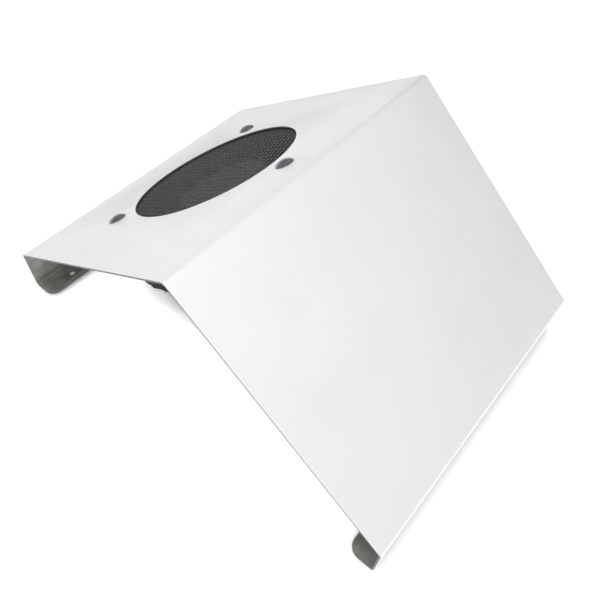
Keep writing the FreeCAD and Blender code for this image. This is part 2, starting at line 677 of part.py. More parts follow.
def dust_bag():
    """Cloth bag below the cuff, sagging forward to a flat seamed end."""
    rear = panel_point(-cuff_radius, 0, cuff_bottom)
    front = panel_point(cuff_radius, 0, cuff_bottom)
    tail = front_x - FOOT_DEPTH - BAG_TAIL_GAP
    rise = front.z - rear.z
    run = tail - rear.x
    floor = BAG_FLOOR_GAP
    sections = [(rear, front, cuff_radius)]
    for along, forward, height, half_bag in BAG_SECTIONS:
        low = Vector(rear.x + along * run, 0, floor)
        high = Vector(front.x + forward, 0, rear.z + height * rise)
        sections.append((low, high, half_bag))
    sections.append((Vector(tail, 0, floor + 1), Vector(tail + 2, 0, floor + BAG_TAIL_HEIGHT), BAG_TAIL_HALF))
    outside = Part.makeLoft([bag_section(*section, 0.0) for section in sections], True, False)
    inside_sections = []
    for i, (low, high, half_bag) in enumerate(sections):
        step = Vector(-2 * BAG_CLOTH, 0, 0) if i == len(sections) - 1 else Vector(0, 0, 0)
        inside_sections.append(bag_section(low + step, high + step, half_bag, BAG_CLOTH))
    return outside.cut(Part.makeLoft(inside_sections, True, False))


def bag_cuff():
    """Straight sleeve of the bag's mouth, over the fan's outlet rim."""
    return placed(ring(cuff_radius, cuff_radius - BAG_CLOTH, cuff_bottom, cuff_top), on_panel)


def bag_elastic():
    top = cuff_top - 0.5
    band = ring(cuff_radius + ELASTIC_THICKNESS, cuff_radius, top - ELASTIC_WIDTH, top)
    return placed(band, on_panel)


# ---------------------------------------------------------------- mains inlet and switch
def pin_places():
    """(y, z) of the live, neutral and earth pins."""
    return ((inlet_y - PIN_SPACING / 2, service_z - PIN_DROP),
            (inlet_y + PIN_SPACING / 2, service_z - PIN_DROP),
            (inlet_y, service_z + PIN_DROP))


def power_inlet():
    face_x = back_x - INLET_FLANGE[2]
    flange = block((INLET_FLANGE[2], INLET_FLANGE[0], INLET_FLANGE[1]),
                   (back_x - INLET_FLANGE[2] / 2, inlet_y, service_z))
    edges = [e for e in flange.Edges if e.BoundBox.XLength > INLET_FLANGE[2] - 0.01]
    flange = flange.makeFillet(4.0, edges)
    body = block((INLET_BODY[2], INLET_BODY[0], INLET_BODY[1]),
                 (back_x + INLET_BODY[2] / 2, inlet_y, service_z))
    cavity = block((INLET_CAVITY[2], INLET_CAVITY[0], INLET_CAVITY[1]),
                   (face_x + INLET_CAVITY[2] / 2, inlet_y, service_z))
    top_edges = [e for e in cavity.Edges
                 if e.BoundBox.XLength > INLET_CAVITY[2] - 0.01 and e.BoundBox.ZMin > service_z]
    cavity = cavity.makeChamfer(3.5, top_edges)
    pins = []
    pin_length = INLET_FLANGE[2] + INLET_BODY[2] - PIN_RECESS
    for y, z in pin_places():
        blade = block((pin_length, PIN_SIZE[0], PIN_SIZE[1]),
                      (face_x + PIN_RECESS + pin_length / 2, y, z))
        spade = block((SPADE[2] + 1, SPADE[1], SPADE[0]),
                      (back_x + INLET_BODY[2] + (SPADE[2] - 1) / 2, y, z))
        pins.append(blade.fuse(spade))
    screws, nuts, sinks = [], [], []
    for side in (-1, 1):
        y = inlet_y + side * INLET_SCREW_SPACING / 2
        cone = Part.makeCone(2 * INLET_SCREW_RADIUS, INLET_SCREW_RADIUS, INLET_SCREW_RADIUS,
                             Vector(face_x, y, service_z), Vector(1, 0, 0))
        bore = wall_rod(INLET_SCREW_RADIUS + 0.1, INLET_FLANGE[2] + 2, y, INLET_FLANGE[2] + 1)
        sinks.append(cone.fuse(bore))
        screw = cone.fuse(wall_rod(INLET_SCREW_RADIUS, 10.0, y, INLET_FLANGE[2]))
        slot = block((1.6, 0.8, 2 * INLET_SCREW_RADIUS + 0.6), (face_x, y, service_z))
        screws.append(screw.cut(slot))
        nut = hexagon(5.5, 0, 2.4, 0, 0)
        nut = placed(nut, Placement(Vector(inner_wall_x, y, service_z), Rotation(Y_AXIS, 90)))
        nuts.append(nut.cut(wall_rod(INLET_SCREW_RADIUS, 12.0, y, 0)))
    housing = flange.fuse(body).cut(cavity).cut(Part.makeCompound(pins)).cut(Part.makeCompound(sinks))
    housing = housing.removeSplitter()
    return [housing] + [Part.makeCompound(group) for group in (pins, screws, nuts)]


def mains_switch():
    """Body with bezel, the rocker in its off position, and the two blade contacts."""
    bezel = block((SWITCH_BEZEL[2], SWITCH_BEZEL[0], SWITCH_BEZEL[1]),
                  (back_x - SWITCH_BEZEL[2] / 2, switch_y, service_z))
    rim = [e for e in bezel.Edges if e.BoundBox.XMax < back_x - SWITCH_BEZEL[2] + 0.01]
    bezel = bezel.makeFillet(0.8, rim)
    body = block((SWITCH_BODY[2], SWITCH_BODY[0], SWITCH_BODY[1]),
                 (back_x + SWITCH_BODY[2] / 2, switch_y, service_z))
    cavity_depth = SWITCH_CAVITY[2] + SWITCH_BEZEL[2]
    cavity = block((cavity_depth, SWITCH_CAVITY[0], SWITCH_CAVITY[1]),
                   (back_x - SWITCH_BEZEL[2] + cavity_depth / 2, switch_y, service_z))
    pivot = Vector(pivot_x, switch_y, service_z)
    half_rocker = SWITCH_CAVITY[0] / 2 - ROCKER_SIDE_GAP
    half_pin = half_rocker + TRUNNION_LENGTH
    sockets = Part.makeCylinder(TRUNNION_RADIUS + TRUNNION_CLEARANCE, 2 * half_pin + 0.2,
                                pivot - Y_AXIS * (half_pin + 0.1), Y_AXIS)
    contacts = []
    for side in (-1, 1):
        x = back_x + SWITCH_BODY[2] + (SPADE[2] - 4) / 2
        y = switch_y + side * CONTACT_SPACING / 2
        contacts.append(block((SPADE[2] + 4, SPADE[1], 4.8), (x, y, service_z)))
    terminals = Part.makeCompound(contacts)
    housing = bezel.fuse(body).cut(cavity).cut(sockets).cut(terminals)
    front_x_of_ends = pivot_x - ROCKER_PROUD
    outline = [(0, 1), (ROCKER_DISH, 0), (0, -1), (3.8, -1), (6.8, -0.59), (6.8, 0.59), (3.8, 1)]
    corners = [Vector(front_x_of_ends + depth, switch_y - half_rocker, service_z + share * ROCKER_HALF)
               for depth, share in outline]
    rocker = Part.Face(Part.makePolygon(corners + corners[:1])).extrude(Y_AXIS * (2 * half_rocker))
    trunnions = Part.makeCylinder(TRUNNION_RADIUS, 2 * half_pin, pivot - Y_AXIS * half_pin, Y_AXIS)
    rocker = turned(rocker.fuse(trunnions), -ROCKER_TILT, pivot, Y_AXIS)
    return housing.removeSplitter(), rocker, terminals


def earth_fixing():
    """Earth screw through the back wall, the ring tag and nut behind it."""
    head = wall_rod(2 * EARTH_RADIUS, 2.2, earth_y, 2.2)
    rim = [e for e in head.Edges if e.BoundBox.XMax < back_x - 2.19]
    head = head.makeFillet(0.9, rim).cut(block((2.0, 1.0, 6.0), (back_x - 2.2, earth_y, service_z)))
    screw = head.fuse(wall_rod(EARTH_RADIUS, 9.0, earth_y, 0))
    tag = wall_rod(4.2, 0.8, earth_y, -SHEET)
    tail = block((0.8, 5.0, 8.0), (inner_wall_x + 0.4, earth_y, service_z + 6.5))
    tag = tag.fuse(tail).cut(wall_rod(EARTH_RADIUS + 0.1, 4, earth_y, 0)).removeSplitter()
    nut = placed(hexagon(7.0, 0, 3.2, 0, 0),
                 Placement(Vector(inner_wall_x + 0.8, earth_y, service_z), Rotation(Y_AXIS, 90)))
    nut = nut.cut(wall_rod(EARTH_RADIUS, 12.0, earth_y, 0))
    return screw, tag, nut


# ---------------------------------------------------------------- internal leads
def boot(place):
    """Insulating boot over a blade contact that points along the placement's X axis."""
    sleeve = block((BOOT[2], BOOT[1], BOOT[0]), (BOOT[2] / 2 + 1.0, 0, 0))
    edges = [e for e in sleeve.Edges if e.BoundBox.XLength > BOOT[2] - 0.01]
    sleeve = sleeve.makeFillet(1.2, edges)
    sleeve = sleeve.cut(block((2 * SPADE[2], SPADE[1] + 0.1, SPADE[0] + 0.1), (0, 0, 0)))
    return placed(sleeve, place)


def boots_and_leads():
    boot_end = BOOT[2] + 1.0
    inlet_back = back_x + INLET_BODY[2]
    switch_back = back_x + SWITCH_BODY[2]
    live, neutral, earth = [Placement(Vector(inlet_back, y, z), Rotation()) for y, z in pin_places()]
    feed = Placement(Vector(switch_back, switch_y + CONTACT_SPACING / 2, service_z), Rotation())
    load = Placement(Vector(switch_back, switch_y - CONTACT_SPACING / 2, service_z), Rotation())
    terminal_z = fan_bottom + TERMINAL_HEIGHT
    turn = Rotation(UP, TERMINAL_ANGLE)
    fan_ends = []
    for side in (-1, 1):
        start = turn.multVec(Vector(FAN_RADIUS - 1, side * TERMINAL_SPACING / 2, terminal_z))
        fan_ends.append(on_panel.multiply(Placement(start, turn)))
    boots = [boot(place) for place in (live, neutral, earth, feed, load, fan_ends[0], fan_ends[1])]

    def out(place, distance):
        return place.multVec(Vector(boot_end + distance, 0, 0))

    far, near = fan_ends
    routes = {
        "live_lead": [out(live, 0), out(live, 8), (out(live, 14) + out(feed, 14)) * 0.5 + Vector(3, 0, 0),
                      out(feed, 17), out(feed, 0)],
        "neutral_lead": [out(neutral, 0), out(neutral, 9),
                         out(neutral, 14) + Vector(0, -16, 9),
                         out(far, 12), out(far, 0)],
        "switched_lead": [out(load, 0), out(load, 10),
                          (out(load, 12) + out(near, 8)) * 0.5 + Vector(4, 0, 6),
                          out(near, 9), out(near, 0)],
        "earth_lead": [out(earth, 0), out(earth, 8),
                       Vector(inlet_back + 14, inlet_y + 14, service_z + 12),
                       Vector(inner_wall_x + 14, earth_y - 10, service_z + 15.5),
                       Vector(inner_wall_x + 1.8, earth_y, service_z + 15.0),
                       Vector(inner_wall_x + 1.2, earth_y, service_z + 10.5)],
    }
    return Part.makeCompound(boots), {name: tube(points, LEAD_RADIUS) for name, points in routes.items()}


# ---------------------------------------------------------------- assembly
def all_nodes():
    nodes = {
        "hood_shell": hood_shell(),
        "rubber_pads": rubber_pads(),
        "intake_mesh": intake_mesh(),
        "sealing_ring": sealing_ring(),
        "fan_bolts": fan_bolts(),
        "fan_washers": fan_washers(),
        "fan_nuts": fan_nuts(),
        "fan_housing": fan_housing(),
        "impeller": impeller(),
        "outlet_guard": outlet_guard(),
        "guard_screws": guard_screws(),
        "bearing_tube": bearing_tube(),
        "stator_core": stator_core(),
        "stator_windings": stator_windings(),
        "shaft": shaft(),
        "shaft_circlip": shaft_circlip(),
        "rotor_can": rotor_can(),
        "rotor_cage": rotor_cage(),
        "dust_bag": dust_bag(),
        "bag_cuff": bag_cuff(),
        "bag_elastic": bag_elastic(),
    }
    nodes["fan_terminal_block"], nodes["fan_terminal_pins"] = fan_terminal()
    races = bearings()
    nodes["bearing_outer_races"], nodes["bearing_inner_races"], nodes["bearing_balls"] = races
    nodes["power_inlet"], nodes["inlet_pins"], nodes["inlet_screws"], nodes["inlet_nuts"] = power_inlet()
    nodes["switch_body"], nodes["switch_rocker"], nodes["switch_terminals"] = mains_switch()
    nodes["earth_screw"], nodes["earth_tag"], nodes["earth_nut"] = earth_fixing()
    nodes["lead_boots"], leads = boots_and_leads()
    nodes.update(leads)
    return nodes


def main():
    os.makedirs("parts", exist_ok=True)
    nodes = all_nodes()
    low = min(shape.BoundBox.XMin for shape in nodes.values())
    high = max(shape.BoundBox.XMax for shape in nodes.values())
    to_origin = Vector(-(low + high) / 2, 0, 0)
    for name, shape in nodes.items():
        placed(shape, Placement(to_origin, Rotation())).exportStep("parts/" + name + ".step")
        print(name, "solids", len(shape.Solids), "valid", shape.isValid(), "volume", round(shape.Volume, 1))
    references = {
        "shift": to_origin,
        "fan centre": fan_centre + to_origin,
        "rocker pivot": Vector(pivot_x, switch_y, service_z) + to_origin,
        "ridge": Vector(0, 0, ridge_z) + to_origin,
        "front": Vector(front_x, 0, 0) + to_origin,
        "back": Vector(back_x, 0, 0) + to_origin,
    }
    for name, point in references.items():
        print(name, round(point.x, 3), round(point.y, 3), round(point.z, 3))


main()
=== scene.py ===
import json
import math

import bmesh
import bpy
from mathutils import Matrix, Vector, noise


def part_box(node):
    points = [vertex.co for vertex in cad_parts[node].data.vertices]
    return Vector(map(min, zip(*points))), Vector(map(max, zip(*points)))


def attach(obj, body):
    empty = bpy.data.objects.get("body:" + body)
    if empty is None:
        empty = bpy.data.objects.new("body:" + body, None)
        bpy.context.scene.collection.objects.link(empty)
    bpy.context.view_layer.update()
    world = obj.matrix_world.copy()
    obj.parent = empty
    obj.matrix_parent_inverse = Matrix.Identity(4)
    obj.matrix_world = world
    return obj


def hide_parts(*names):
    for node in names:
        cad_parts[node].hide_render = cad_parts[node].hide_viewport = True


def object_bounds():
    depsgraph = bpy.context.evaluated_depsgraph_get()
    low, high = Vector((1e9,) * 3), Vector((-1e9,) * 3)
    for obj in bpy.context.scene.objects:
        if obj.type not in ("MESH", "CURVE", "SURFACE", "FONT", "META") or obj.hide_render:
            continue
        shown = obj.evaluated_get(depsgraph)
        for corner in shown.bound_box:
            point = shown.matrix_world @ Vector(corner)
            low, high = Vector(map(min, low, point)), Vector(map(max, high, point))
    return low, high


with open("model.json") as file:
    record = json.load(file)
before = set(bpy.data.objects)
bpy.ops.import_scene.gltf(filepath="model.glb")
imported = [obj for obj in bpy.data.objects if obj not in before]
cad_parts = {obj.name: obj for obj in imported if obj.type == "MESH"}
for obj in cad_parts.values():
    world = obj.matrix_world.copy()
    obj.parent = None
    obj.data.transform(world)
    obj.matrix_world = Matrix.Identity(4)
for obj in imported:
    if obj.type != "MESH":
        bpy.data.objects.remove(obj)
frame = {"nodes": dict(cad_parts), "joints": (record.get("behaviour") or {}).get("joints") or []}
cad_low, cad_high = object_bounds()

# A table-top nail dust collector: a folded white sheet-metal hood over an axial fan, with a round
# black expanded-metal intake in its top panel and a cloth dust bag on the fan's outlet.
# Metres. +X is the long slope's side, +Z is up, Z = 0 is the table.

MM = 0.001
nodes = frame["nodes"]
scene = bpy.context.scene

# ---------------------------------------------------------------- sizes and places
hood_low, hood_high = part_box("hood_shell")
bag_low, bag_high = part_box("dust_bag")
spin = next(joint for joint in frame["joints"] if joint["name"] == "rotor_spin")
fan_centre = Vector(spin["pos_m"])                       # on the top panel's outer face
panel_normal = Vector(spin["axis"]).normalized()
panel_up = Vector((panel_normal.z, 0, -panel_normal.x))  # along the panel, towards the ridge
on_panel = Matrix.Translation(fan_centre) @ Matrix((panel_up, (0, 1, 0), panel_normal)).transposed().to_4x4()

FAN_TO_RIDGE = 110 * MM                                  # along the panel
BACK_CORNER_HEIGHT = 39.7 * MM
FRONT_CORNER_HEIGHT = 37.0 * MM
EDGE_ROUND = 0.22 * MM                                   # broken edge of the sheet

# expanded metal
LONG_WAY = 10.24 * MM
SHORT_WAY = 4.31 * MM
STRAND_WIDTH = 0.78 * MM
STRAND_THICKNESS = 0.55 * MM
STRAND_TILT = 18.0                                       # degrees, left by the stretching
MESH_TOP = 1.5 * MM                                      # below the panel's outer face
MESH_DEPTH = 1.2 * MM
MESH_RADIUS = 76.6 * MM

# domed square-neck bolts
BOLT_CIRCLE = 81 * MM
BOLT_COUNT = 3
HEAD_RADIUS = 6.75 * MM
HEAD_HEIGHT = 3 * MM
NECK = 5 * MM
NECK_DEPTH = 2.6 * MM
BOLT_LENGTH = 16 * MM
THREAD_PITCH = 0.8 * MM
THREAD_OUTER = 2.5 * MM
THREAD_INNER = 2.1 * MM

# dust bag, on the fan's outlet rim
CUFF_RADIUS = 87.3 * MM
CUFF_TOP = -37.5 * MM
CUFF_BOTTOM = -45.5 * MM
CLOTH = 0.8 * MM
ELASTIC_WIDTH = 4.5 * MM
ELASTIC_THICKNESS = 0.6 * MM
SEAM_STRIP = 5 * MM                                      # sewn edge at the bag's tail
BAG_AROUND = 144
BAG_ALONG = 56
BAG_FLOOR = 1.4 * MM                                     # cloth's underside, above the bag's lowest point
BAG_SECTIONS = (    # place along the bag; underside's share of the run; top past the rim, share of the rise
    (0.26, 0.26, 20 * MM, 0.87, 71 * MM),                # and, last in each row, half the width
    (0.52, 0.56, 38 * MM, 0.66, 71 * MM),
    (0.78, 0.81, 58 * MM, 0.38, 72 * MM))
BAG_TAIL_HALF = 70 * MM
BAG_TRAVEL = 5.5 * MM                                    # furthest that the cloth settles
SETTLE_FRAMES = 26

# floor
# painted shadow: the floor's glow fades within this reach of anything near it, leaving a darker halo
PAINTED_SHADOW_REACH = 30 * MM                                     # soft shadow round whatever touches the floor
# painted light: strength of the floor's own glow, which keeps it white though it is no lamp
PAINTED_FLOOR_GLOW = 0.85
CAMERA_DISTANCE = 0.4923


# ---------------------------------------------------------------- building materials
def colour(code):
    """Linear RGBA from an sRGB hex value."""
    parts = [int(code[i:i + 2], 16) / 255 for i in (0, 2, 4)]
    return [p / 12.92 if p <= 0.04045 else ((p + 0.055) / 1.055) ** 2.4 for p in parts] + [1.0]


def add(tree, kind, settings=None, inputs=None):
    """Adds a node with its settings; an input takes a value or another node's socket."""
    node = tree.nodes.new(kind)
    for name, value in (settings or {}).items():
        setattr(node, name, value)
    for name, value in (inputs or {}).items():
        if isinstance(value, bpy.types.NodeSocket):
            tree.links.new(value, node.inputs[name])
        else:
            node.inputs[name].default_value = value
    return node


def grain(tree, size, low=None, high=None, start=0.3, end=0.7, stretch=(1, 1, 1), detail=3.0):
    """Noise whose features are about `size` metres, from the piece's own coordinates.

    With `low` and `high`, its `start` to `end` is laid on to that range.
    """
    place = add(tree, "ShaderNodeTexCoord").outputs["Object"]
    scale = [s / size for s in stretch]
    place = add(tree, "ShaderNodeMapping", None, {"Vector": place, "Scale": scale}).outputs[0]
    settings = {"Vector": place, "Scale": 1.0, "Detail": detail, "Roughness": 0.55}
    pattern = add(tree, "ShaderNodeTexNoise", None, settings).outputs["Fac"]
    if low is None:
        return pattern
    laid = add(tree, "ShaderNodeMapRange", None, {
        "Value": pattern, "From Min": start, "From Max": end, "To Min": low, "To Max": high})
    return laid.outputs["Result"]


def edges(tree, radius, start=0.02, end=0.25):
    """1 on edges sharper than `radius` metres, 0 on flat and gently curved faces."""
    rounded = add(tree, "ShaderNodeBevel", {"samples": 4}, {"Radius": radius}).outputs[0]
    flat = add(tree, "ShaderNodeNewGeometry").outputs["Normal"]
    dot = add(tree, "ShaderNodeVectorMath", {"operation": "DOT_PRODUCT"}, {0: rounded, 1: flat})
    return add(tree, "ShaderNodeMapRange", None, {
        "Value": dot.outputs["Value"], "From Min": 1 - end, "From Max": 1 - start,
        "To Min": 1.0, "To Max": 0.0}).outputs["Result"]


def finish(name, base, rough, bumps=None, **shader):
    """A material: `base` gives its tones, `rough` its roughness and `bumps` its height and depth."""
    material = bpy.data.materials.new(name)
    material.use_nodes = True
    tree = material.node_tree
    tree.nodes.clear()
    inputs = {key.replace("_", " ").title().replace("Ior", "IOR"): value for key, value in shader.items()}

    def tone(value):
        """A hex colour, or a share and the two tones that it mixes."""
        if isinstance(value, str):
            return colour(value)
        share, first, second = value
        mixed = add(tree, "ShaderNodeMix", {"data_type": "RGBA"}, {0: share, 6: tone(first), 7: tone(second)})
        return mixed.outputs[2]
    inputs["Base Color"] = tone(base(tree))
    inputs["Roughness"] = rough(tree)
    if bumps:
        height, depth = bumps(tree)
        inputs["Normal"] = add(tree, "ShaderNodeBump", None, {"Height": height, "Distance": depth}).outputs[0]
    body = add(tree, "ShaderNodeBsdfPrincipled", None, inputs)
    add(tree, "ShaderNodeOutputMaterial", None, {"Surface": body.outputs[0]})
    return material


# ---------------------------------------------------------------- the hood's finishes
def powder_coat():
    """Polyester powder on steel: a satin white film with a fine orange peel left by the oven."""
    return finish(
        "white_powder_coat",
        lambda t: (grain(t, 60 * MM, 0, 1, detail=2), "EDEDEC", "E9E9E9"),
        lambda t: grain(t, 18 * MM, 0.40, 0.50),
        lambda t: (grain(t, 1.6 * MM, detail=1), 0.018 * MM),
        ior=1.5, coat_weight=0.25, coat_roughness=0.3)


def galvanised_inside():
    """Zinc-coated sheet as rolled, unpainted inside: dull olive grey with a faint spangle."""
    def base(t):
        spangle = add(t, "ShaderNodeTexVoronoi", None, {
            "Vector": add(t, "ShaderNodeTexCoord").outputs["Object"], "Scale": 1 / (9 * MM)})
        return grain(t, 30 * MM, 0, 0.5), (spangle.outputs["Distance"], "A6A6A1", "7E7E7A"), "62625E"
    return finish(
        "galvanised_steel", base,
        lambda t: grain(t, 6 * MM, 0.58, 0.74),
        lambda t: (grain(t, 1.1 * MM), 0.02 * MM), metallic=0.35)


def sheared_edge():
    """The sheet's cut edge: bare steel with fine shear marks across it."""
    return finish(
        "sheared_steel_edge",
        lambda t: (grain(t, 1.2 * MM, 0, 1, stretch=(4, 1, 4)), "6F7072", "54565A"),
        lambda t: grain(t, 0.8 * MM, 0.4, 0.6),
        lambda t: (grain(t, 0.5 * MM, stretch=(4, 1, 4)), 0.02 * MM), metallic=0.4)


def mesh_paint():
    """Black stove enamel on expanded steel: semi-gloss, faintly mottled between two dark greys."""
    return finish(
        "black_enamelled_mesh",
        lambda t: (grain(t, 5 * MM, 0, 1), "323334", "434445"),
        lambda t: grain(t, 2 * MM, 0.24, 0.4),
        lambda t: (grain(t, 0.35 * MM), 0.02 * MM), ior=1.5)


# ---------------------------------------------------------------- metals
def zinc_plate():
    """Bright zinc plate: pale blue-grey metal with soft clouding from the bath."""
    return finish(
        "bright_zinc_plate",
        lambda t: (grain(t, 2.5 * MM, 0, 1), "8C8E90", "6E7175"),
        lambda t: grain(t, 1.2 * MM, 0.24, 0.42),
        lambda t: (grain(t, 0.4 * MM), 0.008 * MM), metallic=1.0)


def ground_steel():
    """Ground bearing steel: bright, with fine marks round the part."""
    return finish(
        "ground_bearing_steel",
        lambda t: (grain(t, 3 * MM, 0, 1), "C9CACB", "B2B3B5"),
        lambda t: grain(t, 0.5 * MM, 0.14, 0.26),
        lambda t: (grain(t, 0.25 * MM), 0.003 * MM), metallic=1.0)


def laminations():
    """Stacked electrical steel: dark blue-grey, a line at each 0.5 mm sheet, drawn at 1 mm to show."""
    def bands(t):
        place = add(t, "ShaderNodeTexCoord").outputs["Object"]
        along = add(t, "ShaderNodeVectorMath", {"operation": "DOT_PRODUCT"},
                    {0: place, 1: tuple(panel_normal)}).outputs["Value"]
        turns = add(t, "ShaderNodeMath", {"operation": "MULTIPLY"}, {0: along, 1: math.tau / MM}).outputs[0]
        return add(t, "ShaderNodeMath", {"operation": "SINE"}, {0: turns}).outputs[0]

    def base(t):
        gaps = add(t, "ShaderNodeMapRange", None, {
            "Value": bands(t), "From Min": -1, "From Max": 0, "To Min": 0, "To Max": 1})
        return gaps.outputs["Result"], "3A3D42", "6E7277"
    return finish(
        "stacked_laminations", base,
        lambda t: grain(t, 2 * MM, 0.4, 0.6),
        lambda t: (bands(t), 0.08 * MM), metallic=0.8)


def enamelled_copper():
    """Varnished magnet wire: warm copper with the ridges of its turns, 0.5 mm wire drawn at 0.8 mm."""
    def turns(t):
        place = add(t, "ShaderNodeTexCoord").outputs["Object"]
        wave = add(t, "ShaderNodeTexWave", {"bands_direction": "Z"},
                   {"Vector": place, "Scale": math.tau / (20 * 0.8 * MM), "Distortion": 0.6})
        return wave.outputs["Fac"]
    return finish(
        "enamelled_copper_wire",
        lambda t: (turns(t), "6B2F14", "C4743A"),
        lambda t: grain(t, 2 * MM, 0.22, 0.36),
        lambda t: (turns(t), 0.2 * MM), metallic=0.9, coat_weight=0.4, coat_roughness=0.15)


def turned_aluminium():
    """Turned tube: pale metal with tool marks round it."""
    return finish(
        "turned_aluminium",
        lambda t: (grain(t, 4 * MM, 0, 1), "D0D1D2", "BCBEC0"),
        lambda t: grain(t, 0.6 * MM, 0.22, 0.38),
        lambda t: (grain(t, 0.3 * MM), 0.01 * MM), metallic=1.0)


def nickel_brass():
    """Nickel-plated brass contacts: warm silver, brass where the plate has rubbed off the edges."""
    return finish(
        "nickel_plated_brass",
        lambda t: (edges(t, 0.3 * MM), "BDB69F", "B8914A"),
        lambda t: grain(t, 0.8 * MM, 0.2, 0.38),
        lambda t: (grain(t, 0.3 * MM), 0.006 * MM), metallic=1.0)


def die_cast_black():
    """Black paint on die-cast aluminium: fine cast grain under it, bare grey rubbed through at edges."""
    def base(t):
        rub = add(t, "ShaderNodeMath", {"operation": "MULTIPLY"},
                  {0: edges(t, 0.7 * MM), 1: grain(t, 2.2 * MM, 0, 1, 0.5, 0.68)}).outputs[0]
        return rub, (grain(t, 12 * MM), "191A1C", "222325"), "77797B"
    return finish(
        "black_die_casting", base,
        lambda t: grain(t, 3 * MM, 0.42, 0.6),
        lambda t: (grain(t, 0.7 * MM), 0.05 * MM), ior=1.5)


# ---------------------------------------------------------------- plastics and rubber
def moulded(name, light, dark, low, high, texture, depth, **shader):
    """A moulding: two tones of the resin, and the spark-eroded texture of its mould."""
    return finish(
        name,
        lambda t: (grain(t, 6 * MM, 0, 1), light, dark),
        lambda t: grain(t, 2 * MM, low, high),
        lambda t: (grain(t, texture), depth), **shader)


def earth_sleeve():
    """Green and yellow PVC: the yellow stripe takes about a third of the sleeve's girth."""
    def base(t):
        place = add(t, "ShaderNodeTexCoord").outputs["Object"]
        wave = add(t, "ShaderNodeTexWave", {"bands_direction": "DIAGONAL"},
                   {"Vector": place, "Scale": math.tau / (20 * 4.5 * MM), "Distortion": 0.3})
        stripe = add(t, "ShaderNodeMapRange", None, {
            "Value": wave.outputs["Fac"], "From Min": 0.62, "From Max": 0.68, "To Min": 0, "To Max": 1})
        return stripe.outputs["Result"], "2E7D32", "E3C31B"
    return finish("green_yellow_pvc", base, lambda t: grain(t, 2 * MM, 0.34, 0.46),
                  lambda t: (grain(t, 0.6 * MM), 0.01 * MM), ior=1.53)


# ---------------------------------------------------------------- cloth
def woven(tree, pitch):
    """Height of a plain weave on the cloth's own UV, which is in metres."""
    uv = add(tree, "ShaderNodeUVMap", {"uv_map": "cloth"}).outputs[0]
    threads = []
    for direction in ("X", "Y"):
        settings = {"bands_direction": direction, "wave_profile": "SIN"}
        inputs = {"Vector": uv, "Scale": math.tau / (20 * pitch), "Distortion": 0.35, "Detail": 1.0}
        threads.append(add(tree, "ShaderNodeTexWave", settings, inputs).outputs["Fac"])
    return add(tree, "ShaderNodeMath", {"operation": "MULTIPLY"}, {0: threads[0], 1: threads[1]}).outputs[0]


def filter_cloth():
    """Black polyester filter cloth: matt plain weave, threads drawn at 0.9 mm to show, dusted in patches."""
    def base(t):
        dust = grain(t, 35 * MM, 0, 0.5, 0.5, 0.8, detail=5)
        return dust, (woven(t, 0.9 * MM), "0E0E0F", "1D1D1F"), "33322F"
    return finish(
        "black_filter_cloth", base,
        lambda t: grain(t, 8 * MM, 0.82, 0.96),
        lambda t: (woven(t, 0.9 * MM), 0.22 * MM),
        sheen_weight=0.06, sheen_roughness=0.5, specular_ior_level=0.15)


def ribbed_elastic():
    """Woven elastic: black, with ribs 1.2 mm apart along the band."""
    return finish(
        "ribbed_elastic",
        lambda t: (woven(t, 1.2 * MM), "101011", "202022"),
        lambda t: grain(t, 4 * MM, 0.75, 0.9),
        lambda t: (woven(t, 1.2 * MM), 0.2 * MM),
        sheen_weight=0.05, sheen_roughness=0.5, specular_ior_level=0.2)


def sewing_thread():
    """Polyester thread: dark grey, a little brighter than the cloth, with its twist."""
    return finish(
        "sewing_thread",
        lambda t: (grain(t, 0.5 * MM, 0, 1), "3C3C40", "56565B"),
        lambda t: grain(t, 1 * MM, 0.5, 0.65),
        lambda t: (grain(t, 0.3 * MM), 0.05 * MM), sheen_weight=0.2)


coat, inside, cut = powder_coat(), galvanised_inside(), sheared_edge()
zinc, steel, plates = zinc_plate(), ground_steel(), laminations()
nylon = moulded("glass_filled_nylon", "1B1B1C", "262627", 0.45, 0.62, 0.5 * MM, 0.03 * MM, ior=1.53)
gloss_nylon = moulded("polished_switch_nylon", "131314", "1C1C1D", 0.16, 0.28, 0.9 * MM, 0.006 * MM, ior=1.53)
rubber = moulded("moulded_rubber", "1D1D1D", "2B2B2B", 0.72, 0.9, 0.6 * MM, 0.05 * MM, ior=1.52)
foam = moulded("closed_cell_foam", "19191A", "2A2A2B", 0.85, 0.97, 0.9 * MM, 0.2 * MM, ior=1.45)
vinyl = moulded("soft_red_vinyl", "A5201C", "8C1714", 0.28, 0.42, 0.7 * MM, 0.012 * MM, ior=1.53)
brown_pvc = moulded("brown_pvc", "4F2A17", "432212", 0.34, 0.46, 0.6 * MM, 0.01 * MM, ior=1.53)
blue_pvc = moulded("blue_pvc", "1C4A9C", "173F88", 0.34, 0.46, 0.6 * MM, 0.01 * MM, ior=1.53)
black_pvc = moulded("black_pvc", "1A1A1A", "242424", 0.34, 0.46, 0.6 * MM, 0.01 * MM, ior=1.53)
copper, aluminium, contact, casting = enamelled_copper(), turned_aluminium(), nickel_brass(), die_cast_black()
cloth, elastic, thread, enamel = filter_cloth(), ribbed_elastic(), sewing_thread(), mesh_paint()

